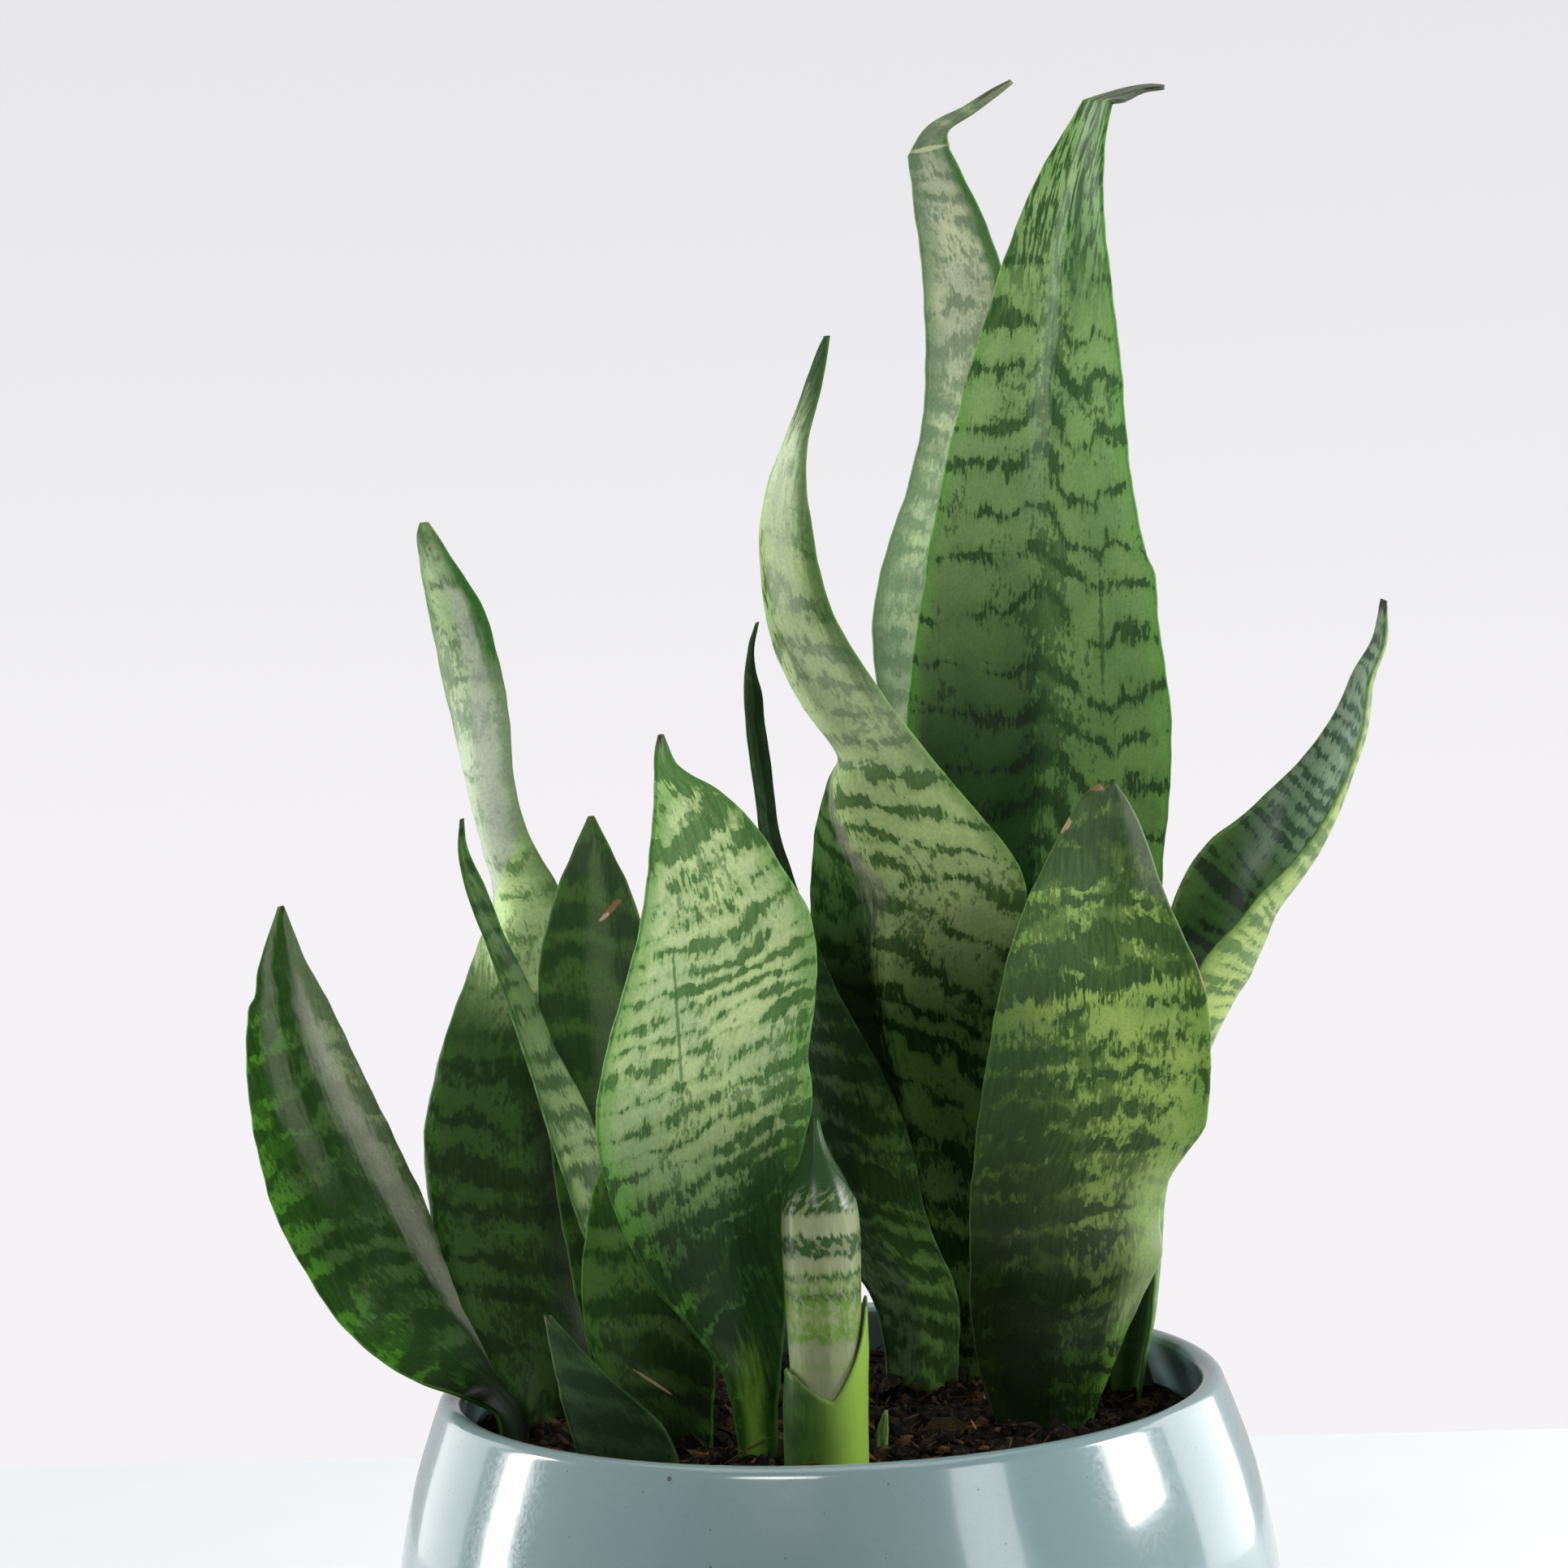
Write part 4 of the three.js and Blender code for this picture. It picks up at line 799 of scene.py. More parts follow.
leafFrontRight = dict(
    rows=[
        (29.5, -6, 100, 45, -6, 100, -5), (29.4, -6, 110, 45.6, -6, 109.5, -5.5),
        (26.1, -8, 122.4, 50, -6, 120.5, -5.5), (25.1, -9, 134, 55.4, -7, 132.5, -4.5),
        (25.3, -11, 142.3, 59, -10, 140.5, -3.5), (25.5, -11, 148.7, 59, -9, 147, -3),
        (25.9, -11.5, 154, 60, -9, 151.7, -2.2), (26.6, -12, 159.5, 63.6, -9, 157.3, -1.5),
        (27.5, -12.5, 165.2, 67.6, -9.5, 162.8, -0.8), (28.4, -13, 171, 68.6, -10, 168.2, 0),
        (30.1, -14, 179.4, 69, -11, 176.2, 0.8), (32.1, -15, 188.6, 68.5, -11, 187.2, 1.5),
        (34.7, -15, 197, 65.6, -10, 195.5, 2), (37.8, -15, 204.7, 62.4, -10, 203.5, 2),
        (41.3, -14, 211, 60.2, -10, 210.7, 1.8), (45.1, -14, 217.5, 57.7, -10, 218, 1.2),
        (47.6, -13, 222.2, 55.8, -11, 222.2, 0.3),
    ],
    seed=10, spacing=6, width=2.3, slope=-0.05, chevron=0.1, wave=2.8, fringe=0.7, patches=1.9, mottle=1.15,
    shading=0.65,
    rise=(20, 84), light=((34, 58, 18), (124, 150, 76)), mid=((20, 40, 10), (78, 108, 48)),
    dark=((8, 24, 5), (36, 62, 25)), line=0.35, lineAmount=0.2, lineColour=(88, 118, 50), border=5,
    borderAmount=0.6, borderColour=(84, 124, 40),
    wider=[
        zone(1.6, after=(106, 116)), zone(1.6, upTo=(20, 56)), zone(-1.8, s=0.7, wide=0.7, upTo=(76, 84)),
        zone(-3, after=(80, 83), upTo=(89, 91)), zone(3.4, after=(88, 91), upTo=(95, 98)),
        zone(2, s=-0.6, wide=0.9, upTo=(76, 84)), zone(0.9, after=(95, 98)),
    ],
    zones=[
        zone(0.62, (38, 56, 30), after=(106, 118)),
        # Painted highlight: a pale grey strip along the fold at the right of the tip
        zone(0.4, (128, 138, 118), s=0.9, wide=0.36, after=(104, 112)),
        zone(0.55, (150, 172, 112), s=1, wide=0.5, after=(26, 36), upTo=(56, 66)),
        # Painted shade: the left margin low down is painted dark where it lies in shadow beside
        # leaf_curved_middle
        zone(0.6, (14, 28, 10), s=-0.9, wide=0.8, upTo=(40, 74)),
        zone(0.55, (30, 52, 22), s=-0.95, wide=0.85, after=(40, 64), upTo=(90, 104)),
    ],
    marks=[
        mark(68.6, 190, 1.2, 4.2, (140, 112, 74), ragged=0.6), mark(70, 173, 0.8, 0.8, (110, 80, 50)),
        mark(58.8, 144, 2, 6, (138, 150, 126), soft=0.8, amount=0.7),
        mark(50.6, 223.4, 2.4, 1.1, (122, 96, 62), ragged=0.7),
        mark(44.8, 217, 0.9, 1.6, (150, 128, 92), turn=-30, ragged=0.7),
    ],
    torn=[(-1, -0.9), (-0.5, 0.7), (-0.1, 1.7), (0.08, 0.2), (0.42, 2.7), (0.75, 0.5), (1, -0.8)],
)
growLeaf("leaf_front_right", leafFrontRight)

leafTallest = dict(
    rows=[
        (41.5, 36, 101, 55, 32, 101, 2), (41.2, 37, 110.5, 55.3, 31, 110.5, 2.5),
        (38.3, 37.5, 121.5, 57, 29.5, 121.5, 3), (35, 38, 131.5, 59.8, 31, 131, 3.5),
        (30.5, 38.7, 144, 62.5, 33, 143.5, 4), (26.8, 39, 156.5, 64.4, 33, 156, 4.5),
        (23.5, 39, 170, 65.7, 32.5, 169, 5), (21.6, 39, 183.5, 66.1, 32, 182.5, 5),
        (20, 38, 207, 67.3, 31, 205.5, 5), (19.9, 37.5, 227.5, 69.6, 30, 225.5, 5),
        (20.3, 37, 240, 69.9, 29.5, 238, 5), (22.8, 36, 255.5, 68.1, 28.5, 254.8, 5),
        (24.7, 35, 265.5, 67.8, 27.5, 263, 4.5), (25.3, 34.5, 269, 66.2, 27, 266.5, 4.5),
        (27.1, 33, 277, 64.6, 25.5, 274.7, 4.3), (29.3, 32, 286, 63.2, 24, 284.5, 4),
        (33.5, 29, 301, 62.2, 21, 299.4, 3.5), (37.7, 27, 312.8, 61.1, 19, 311.2, 3),
        (41.8, 24, 324.3, 59.7, 16, 322.8, 2.5), (46.6, 22, 335.1, 59.1, 14, 332.5, 2),
        (51.3, 20, 343, 59.6, 13, 341, 1.3), (56.6, 17, 350.5, 61, 11, 348.6, 0.6),
        (59.6, 15, 350.8, 61.4, 10, 348.4, 0.4), (63.7, 14, 351.6, 63.2, 10, 348.5, 0.2),
        (67.6, 13, 351.8, 67, 10.5, 350.2, 0), (71, 12, 351.2, 70.8, 11, 350.7, 0),
    ],
    seed=11, spacing=9.4, width=1, slope=0.05, wave=2.6, fringe=1.1, patches=1.4, mottle=0.65, patchy=0.45,
    folds=[21], steps=[(-0.14, 0.14, -3.4), (0.22, 0.2, 8.6), (0.62, 0.05, -3.2)], streaks=(208, 232, 0.7),
    dry=13, dryColour=(96, 108, 88),
    rise=(84, 190), leftRise=(118, 212), light=((64, 98, 42), (100, 132, 80)),
    mid=((43, 75, 26), (72, 105, 52)), dark=((15, 40, 11), (38, 70, 34)),
    leftLight=((22, 50, 14), (114, 144, 90)), leftMid=((15, 38, 9), (80, 114, 56)),
    leftDark=((8, 24, 5), (36, 70, 30)), lineColour=(60, 104, 32), border=2.6, borderColour=(84, 138, 52),
    wider=[
        zone(2.2, s=0.1, wide=0.28, after=(50, 80), upTo=(200, 225)), zone(3, upTo=(70, 112)),
        zone(0.9, after=(180, 200), upTo=(205, 225)),
    ],
    flecked=[zone(0.42, s=0.1, wide=0.36, after=(50, 80), upTo=(215, 235))],
    zones=[
        # Painted sheen: a pale streak along the midrib near the top
        zone(0.3, (158, 182, 146), s=-0.03, wide=0.18, after=(165, 205)),
        zone(0.6, (50, 78, 46), s=0.34, wide=0.14, after=(205, 222)),
    ],
    marks=[mark(57.8, 250.5, 0.5, 13, (40, 76, 34), ragged=0.9, amount=0.7)],
)
growLeaf("leaf_tallest", leafTallest)

leafBackTall = dict(
    rows=[
        (25.5, 49, 101, 36, 49, 101, 1), (25.5, 50, 112, 36, 50, 112, 1.5), (26, 52, 138, 44, 52, 138, 2),
        (24, 53, 154, 45.2, 52.5, 154, 2.5), (22, 54, 171, 45.6, 53, 170.5, 2.5),
        (19.1, 56, 203.4, 44.8, 55, 203, 2.5), (17.8, 58, 234, 43.1, 57, 233.6, 2.5),
        (15.1, 58.5, 247.2, 40.9, 57.5, 246.7, 2.5), (15.3, 58.5, 260.5, 39.5, 58, 260, 2),
        (18.8, 58.5, 273.2, 40, 59, 272.7, 2), (23.4, 59, 285.4, 42.2, 60, 285, 1.5),
        (26.9, 59.5, 299.4, 44.5, 61, 299, 1.5), (27.9, 60, 313.7, 45.7, 62, 313.7, 1.5),
        (27.8, 60.5, 328, 44.3, 62, 327, 1.2), (26.8, 61, 340.4, 40.5, 62, 339, 1),
        (25.9, 61.5, 351.3, 34.5, 61, 352.2, 0.4), (30, 61, 357, 34.3, 60.5, 355.6, 0.2),
        (37.6, 60.5, 360.7, 39.7, 60, 359, 0), (42.2, 60.5, 363.3, 43.7, 60, 361.8, 0),
        (46.9, 60, 365.5, 47.7, 60, 364.7, 0),
    ],
    seed=12, spacing=6, width=1.8, wave=2.6, soft=0.6, fringe=0.9, patches=1.8, mottle=0.9, patchy=0.5,
    contrast=0.75, folds=[15], dry=8, dryColour=(124, 132, 100),
    # The pale tones are partly the leaf's own colour and partly painted sheen, the light this tall back leaf
    # catches
    rise=(165, 222), light=((176, 200, 160), (152, 162, 134)), mid=((158, 184, 144), (132, 144, 116)),
    dark=((120, 152, 114), (88, 106, 80)), line=0.4, lineColour=(56, 98, 38), border=4, borderAmount=0.6,
    borderColour=(40, 84, 28),
    zones=[zone(0.9, (52, 96, 40), s=0.95, wide=0.4, after=(200, 212), upTo=(250, 256))],
    marks=[mark(30, 352.4, 4.2, 0.6, (176, 184, 140), turn=8)],
)
growLeaf("leaf_back_tall", leafBackTall)

leafRight = dict(
    rows=[
        (52, 19.5, 101, 56.5, 15, 101, 2.5), (52.3, 19.8, 111, 57, 15, 111, 2.5),
        (53.5, 21, 127.5, 60, 13.5, 128, 3.5), (56, 22, 150, 61.3, 11.5, 151, 4.5),
        (60.5, 24, 172, 65.5, 9.5, 173, 8), (65, 25.5, 190.5, 70.5, 8, 190, 13),
        (69.5, 27, 203, 76.8, 8, 196.7, 14), (75.8, 29, 211.7, 82, 8, 202.5, 12),
        (82.7, 30, 216.5, 87.8, 9, 207.6, 9.5), (89.3, 31, 222, 93.5, 10, 214, 7),
        (95.7, 31, 228, 98.6, 12, 222, 4), (101.4, 31, 235.5, 103, 15, 231.6, 2.5),
        (105, 30, 243, 105.3, 18, 240.5, 1.5), (108.6, 29, 249, 109.2, 22, 247.5, 0.8),
        (110.2, 27, 256.5, 111, 26, 256, 0),
    ],
    seed=13, spacing=3.6, width=1.2, wave=1.5, patches=1, mottle=0.5, dry=1.5,
    rise=(108, 146), light=((50, 86, 34), (126, 148, 126)), mid=((30, 58, 20), (88, 118, 92)),
    # The grey-blue high tones and the lighter back tones are partly painted sheen, where the inner face and
    # the outer face of the near half catch the light
    dark=((12, 36, 10), (44, 76, 52)), backLight=(146, 166, 98), backMid=(112, 138, 70),
    backDark=(72, 104, 52), line=0.4, lineColour=(84, 112, 48), border=1.6, borderColour=(72, 108, 34),
    # Painted light: the foot, in the shadow of leaf_front_right, is painted a lighter green
    zones=[zone(0.7, (74, 120, 52), upTo=(44, 60))],
)
growLeaf("leaf_right", leafRight)

sproutFront = dict(
    rows=[
        (8.3, -25.5, 104, 10.5, -25, 104, 0.4), (7.2, -25.8, 112, 9.2, -25.3, 112, 0.4),
        (7.5, -26, 115.5, 9.4, -25.6, 115.5, 0.3), (8.8, -26, 118.8, 9.4, -25.8, 118.8, 0),
    ],
    seed=14, spacing=9, width=1, slope=0, wave=1, fringe=0.8, patches=1, mottle=0.4,
    rise=(4, 14), light=((56, 80, 36), (82, 112, 54)), mid=((48, 72, 32), (66, 96, 44)),
    dark=((48, 80, 36), (54, 90, 40)), line=0.2, lineColour=(120, 150, 80), border=0.4, borderAmount=0.3,
    borderColour=(96, 136, 58),
)
growLeaf("sprout_front", sproutFront)
print("leaves grown")


# The rolled young leaf and the sheath round its foot

rolledLeaf = {
    "rows": [  # middle x y z and radius, mm
        [-1.6, -32, 100, 5.9], [-1.4, -32, 112, 6.0], [-1.1, -32, 126, 6.0], [-1.0, -32, 139, 6.5],
        [-0.9, -32, 150, 6.8], [-0.9, -32, 155.5, 6.5], [-0.9, -32, 160, 4.6], [-0.9, -31.5, 163.5, 2.5],
        [-1.0, -31, 166.5, 1.3], [-1.0, -30.5, 170, 0.5],
    ],
    "sides": 96,
    "step": 0.6,
    "lap": 0.3,                                      # mm that the outer edge of the roll stands proud
    "uneven": 0.05,
    "seam": [(100, 25), (148, 20), (156, -5), (162, -50), (170, -95)],   # height, bearing in degrees
    "cream": (128, 137, 102),
    "green": (34, 68, 20),
    "yellowGreen": (88, 124, 40),
    "pale": (116, 136, 76),
    "deep": (34, 62, 27),
    "hairGrain": (0.7, 6),                           # mm round the leaf and up it
    "patchGrain": (5, 9),
    "spotGrain": (1.2, 1.7),
    "greenSpots": ((130, 134), (141, 143.5)),        # heights where they come in and where they go
    "creamSpots": (156, 160),
    # height and colour of each painted band, from the soil up
    "paint": [(121, "yellowGreen"), (124, "cream"), (127.6, "cream"), (129, "pale"), (130.4, "cream"),
              (132.4, "cream"), (134, "yellowGreen"), (137, "pale"), (139.2, "yellowGreen"), (140.4, "green"),
              (142.6, "pale"), (144.0, "green"), (144.8, "pale"), (145.4, "cream"), (147.0, "cream"),
              (147.7, "green"), (150.7, "green"), (151.2, "cream"), (153.8, "cream"), (154.6, "green"),
              (158, "deep")],
}


def rolledAt(z):
    heights = [row[2] for row in rolledLeaf["rows"]]
    return [float(np.interp(z, heights, [row[i] for row in rolledLeaf["rows"]])) for i in (0, 1, 3)]


def buildRolled():
    rows = rolledLeaf["rows"]
    heights = np.arange(rows[0][2], rows[-1][2] + 0.01, rolledLeaf["step"])
    values = smoothed([rolledAt(z) for z in heights], 6)
    sides = rolledLeaf["sides"]
    points, space = [], []
    for z, (x, y, radius) in zip(heights, values):
        seam = np.interp(z, *zip(*rolledLeaf["seam"]))
        for k in range(sides):
            turn = k / (sides - 1)                   # the first and last point meet at the seam
            bearing = math.radians(seam + 360 * turn)
            lap = rolledLeaf["lap"] * min(1, radius / 3)
            reach = radius - lap * (1 - turn) + rolledLeaf["uneven"] * math.sin(9 * bearing + z / 9)
            points.append((x + reach * math.cos(bearing), y + reach * math.sin(bearing), z))
            space.append((turn, z, reach * math.radians(360 * turn)))
    faces = ringFaces(range(0, len(points), sides), sides)
    faces.append(tuple(range(sides)))
    faces.append(tuple(range(len(points) - sides, len(points))))
    return makeObject("leaf_rolled_front_spear", points, faces, {"rollSpace": space})


def rolledFinish():
    material, tree, shader = startMaterial("rolled_leaf_finish")
    turn, height, arc = parted(attribute(tree, "rollSpace"))
    hair = stretched(arc, height, *rolledLeaf["hairGrain"])
    wide = stretched(arc, height, *rolledLeaf["patchGrain"], 3.0, 2)
    spots = stretched(arc, height, *rolledLeaf["spotGrain"], 5.0)
    level = (hair - 0.5) * 3.4 + height + (wide - 0.5) * 2.6
    paint = rolledLeaf["paint"]
    low, high = paint[0][0], paint[-1][0]
    ramp = addNode("ValToRGB", {"Fac": fade(level, low, high, kind="LINEAR")})
    stops = ramp["Color"].node.color_ramp.elements
    for z, _ in paint[1:-1]:
        stops.new((z - low) / (high - low))
    for stop, (_, colour) in zip(stops, paint):
        stop.color = tone(*rolledLeaf[colour])
    start, end = rolledLeaf["greenSpots"]
    green = fade(spots, 0.52, 0.6, 0.0, 0.7) * fade(height, *start) * fade(height, *end, 1.0, 0.0)
    colour = blended(green, Flow(ramp["Color"]), rolledLeaf["yellowGreen"])
    cream = fade(spots, 0.42, 0.5, 0.6, 0.0) * fade(height, *rolledLeaf["creamSpots"], 1.0, 0.0)
    colour = blended(cream, colour, rolledLeaf["cream"])
    colour = shaded(colour, fade(hair, 0.3, 0.7, 0.9, 1.08))
    seam = calc("MINIMUM", turn, 1.0 - turn)
    feed(shader, {
        "Base Color": blended(fade(seam, 0.0, 0.02, 0.6, 0.0), colour, rolledLeaf["deep"]),
        "Roughness": fade(wide, 0.3, 0.7, 0.3, 0.45),
        "Normal": addBump(hair, 0.2, 0.0002),
        "Specular IOR Level": 0.25,
        "Coat Weight": 0.03,
    })
    return material


sheath = {
    "rim": [  # bearing in degrees from +X towards +Y, height of the rim
        (0, 138.5), (12, 139.5), (30, 136), (60, 130), (90, 127), (140, 125.5), (180, 127.2), (200, 128.4),
        (226, 127.2), (258, 124.4), (281, 123.2), (294, 125), (318, 129.2), (338, 133.5), (350, 136.5),
        (360, 138.5),
    ],
    "foot": 100,
    "wall": 0.9,
    "gap": 0.25,
    "rimThin": 0.55,                                 # share of the wall that is lost at the rim
    "flare": (0.35, 118, 18),                        # mm gained outwards, from this height, over so many mm
    "sides": 72,
    "levels": 26,
    "meanRadius": 6.5,
    "hairGrain": (0.6, 9),                           # mm round the sheath and up it
    "patchGrain": (5, 5),
    # Painted light: the side that faces the light, to the right and front, is painted bright
    "litSide": (29.6, 38.5),                      # mm round it where it turns bright
    "green": (62, 92, 38),
    "deep": (40, 68, 30),
    "bright": (134, 168, 66),
    "pale": (120, 150, 76),
}


def buildSheath():
    sides, levels = sheath["sides"], sheath["levels"]
    flare, flareFrom, flareOver = sheath["flare"]
    points, space = [], []
    for k in range(sides):
        degrees = 360 * k / sides
        rim = float(np.interp(degrees, *zip(*sheath["rim"])))
        bearing = math.radians(degrees)
        outside, inside = [], []
        for i in range(levels + 1):
            z = sheath["foot"] + (rim - sheath["foot"]) * i / levels
            x, y, radius = rolledAt(z)
            thin = 1 - sheath["rimThin"] * max(0, (i / levels - 0.8) / 0.2)
            inner = radius + sheath["gap"] + flare * max(0, (z - flareFrom) / flareOver)
            inside.append((x, y, inner, z))
            outside.append((x, y, inner + sheath["wall"] * thin, z))
        for x, y, reach, z in outside + inside[::-1]:
            points.append((x + reach * math.cos(bearing), y + reach * math.sin(bearing), z))
            space.append((bearing * sheath["meanRadius"], z, rim - z))
    ring = 2 * (levels + 1)
    faces = []
    for k in range(sides):
        n = (k + 1) % sides
        for i in range(ring):
            j = (i + 1) % ring
            faces.append((k * ring + i, n * ring + i, n * ring + j, k * ring + j))
    return makeObject("sheath_front_shell", points, faces, {"sheathSpace": space})


def sheathFinish():
    material, tree, shader = startMaterial("sheath_finish")
    around, height, below = parted(attribute(tree, "sheathSpace"))
    hair = stretched(around, height, *sheath["hairGrain"])
    patch = stretched(around, height, *sheath["patchGrain"], 7.0)
    colour = blended(fade(patch, 0.4, 0.62), sheath["green"], sheath["deep"])
    colour = blended(fade(hair, 0.48, 0.66, 0.0, 0.6), colour, sheath["deep"])
    # Painted light: the sheath turns bright yellow-green on its lit side
    bright = fade(patch * 5.0 + around, *sheath["litSide"], 0.0, 0.85)
    colour = blended(bright, colour, sheath["bright"])
    feed(shader, {
        "Base Color": blended(fade(below, 0.1, 0.5, 0.3, 0.0), colour, sheath["pale"]),
        "Roughness": fade(patch, 0.3, 0.7, 0.34, 0.5),
        "Normal": addBump(hair, 0.25, 0.0002),
        "Specular IOR Level": 0.12,
    })
    return material


spear = buildRolled()
spear.data.materials.append(rolledFinish())
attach(spear, "root")
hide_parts("leaf_rolled_front")
shell = buildSheath()
shell.data.materials.append(sheathFinish())
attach(shell, "root")
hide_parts("sheath_front")
print("rolled leaf and sheath made")


# The pot

pot = {
    "outer": [(51, 2.2), (59, 9.5), (69.5, 24), (76.5, 40), (79.6, 54), (79.9, 68), (78.8, 81), (76.8, 95),
              (74.2, 106), (71, 115.5)],             # radius and height of the outer wall, mm
    "inner": [(67, 115.5), (69.8, 106), (72.4, 95), (74.4, 81), (75.6, 68), (75.1, 54), (71.7, 40),
              (64.4, 24), (54.6, 12), (48, 6)],
    "outerSteps": 46,
    "innerSteps": 40,
    "footRadius": 48,
    "bareFoot": (0.5, 2.5),                          # heights between which the clay goes over to glaze
    "rim": 120,
    "rimRadius": 70,
    "lipRadius": 2.2,
    "sides": 192,
    "glaze": (116, 139, 141),
    "glazeWarm": (121, 141, 141),
    "glazeDeep": (96, 117, 120),
    "speck": (70, 66, 58),
    "clay": (150, 128, 104),
    "roughness": (0.12, 0.22),
}


def turned(name, profile, sides):                    # a closed form turned round Z
    points, faces, rings = [], [], []
    for radius, z in profile:
        if radius == 0:
            rings.append([len(points)] * sides)
            points.append((0, 0, z))
            continue
        rings.append([len(points) + k for k in range(sides)])
        for k in range(sides):
            turn = 2 * math.pi * k / sides
            points.append((radius * math.cos(turn), radius * math.sin(turn), z))
    for a, b in zip(rings, rings[1:]):
        for k in range(sides):
            n = (k + 1) % sides
            corners = [a[k], a[n], b[n], b[k]]
            faces.append(tuple(dict.fromkeys(corners)))
    return makeObject(name, points, faces)


def wallLine(points, steps):
    curve = curvePoints([Vector((r, 0, z)) for r, z in points], np.linspace(0, len(points) - 1, steps))
    return [(float(p[0]), float(p[2])) for p in curve]


def buildPot():
    lip = []
    for degrees in range(15, 166, 10):
        turn = math.radians(degrees)
        lip.append((pot["rimRadius"] - pot["lipRadius"] + pot["lipRadius"] * math.cos(turn),
                    pot["rim"] - pot["lipRadius"] + pot["lipRadius"] * math.sin(turn)))
    outer, inner = wallLine(pot["outer"], pot["outerSteps"]), wallLine(pot["inner"], pot["innerSteps"])
    profile = [(0, 0), (pot["footRadius"], 0), *outer, *lip, *inner, (0, pot["inner"][-1][1])]
    return turned("pot_glazed", profile, pot["sides"])


def potFinish():
    material, tree, shader = startMaterial("pot_glaze")
    here = placeInMm(tree)
    z = parted(here)[2]
    fine = cloud(here, 1.6, 3)
    colour = blended(fade(cloud(here, 0.03, 4), 0.35, 0.65), pot["glaze"], pot["glazeWarm"])
    colour = blended(fade(fine, 0.5, 0.7, 0.0, 0.14), colour, pot["glazeDeep"])
    small = placeGroup(speckGroup, Place=here, Scale=0.5, Size=0.1, Share=0.35)["Speck"]
    large = placeGroup(speckGroup, Place=here, Scale=0.12, Size=0.05, Share=0.5)["Speck"]
    colour = blended(calc("MAXIMUM", small * 0.6, large * 0.8), colour, pot["speck"])
    glossy = fade(fine, 0.3, 0.7, *pot["roughness"])
    feed(shader, {
        "Base Color": blended(fade(z, *pot["bareFoot"], 1.0, 0.0), colour, pot["clay"]),
        "Roughness": calc("MAXIMUM", glossy, fade(z, *pot["bareFoot"], 0.7, 0.0)),
        "Normal": addBump(cloud(here, 0.12, 3), 0.12, 0.0004),
        "Coat Weight": 0.5,
        "Coat Roughness": 0.06,
    })
    return material


bowl = buildPot()
bowl.data.materials.append(potFinish())
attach(bowl, "root")
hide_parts("pot")
print("pot turned and glazed")


# The soil

soil = {
    "level": 111,
    "mound": 1.5,
    "radius": 67.6,
    "foot": (46, 6.35),                              # radius and height of its lower edge
    "wallGap": (0.35, 0.17),                         # how far it keeps in from the wall of the pot, and up
    "rings": 58,
    "sides": 200,
    "wallSpan": (7, 108),                            # heights between which it follows the wall
    "lump": (2.0, 9),                                # height and length of the large lumps
    "smallLump": (0.45, 1.6),
    "sunk": 0.6,
    "crumbs": (2200, 65),                            # how many, and how far from the middle they reach
    "chips": (160, 64),
    "straws": (420, 62),
    "seed": 7,
    "dark": (7, 6, 4),
    "brown": (86, 68, 42),
    "bark": (100, 72, 42),
    "pale": (156, 128, 92),
}


def soilHeight(x, y):
    away = math.hypot(x, y) / pot["rimRadius"]
    rise = soil["mound"] * (math.cos(away * math.pi / 2) - 0.5)
    high, wide = soil["lump"]
    lumps = noise.fractal(Vector((x / wide, y / wide, 3.1)), 1.0, 2.0, 4) * high
    high, wide = soil["smallLump"]
    small = noise.noise(Vector((x / wide, y / wide, 8.4))) * high
    return soil["level"] + rise + lumps + small - soil["sunk"]


def addCrumb(points, faces, grains, middle, sizes, turn, grain):
    block = bmesh.new()
    bmesh.ops.create_icosphere(block, subdivisions=1, radius=1.0)
    start = len(points)
    for vertex in block.verts:
        push = 1 + 0.9 * noise.noise(vertex.co * 1.7 + Vector(middle) * 3.3)
        spot = Vector([vertex.co[i] * sizes[i] * push for i in range(3)])
        spot.rotate(turn)
        points.append(tuple(spot + Vector(middle)))
        grains.append(grain)
    for face in block.faces:
        faces.append(tuple(start + vertex.index for vertex in face.verts))
    block.free()


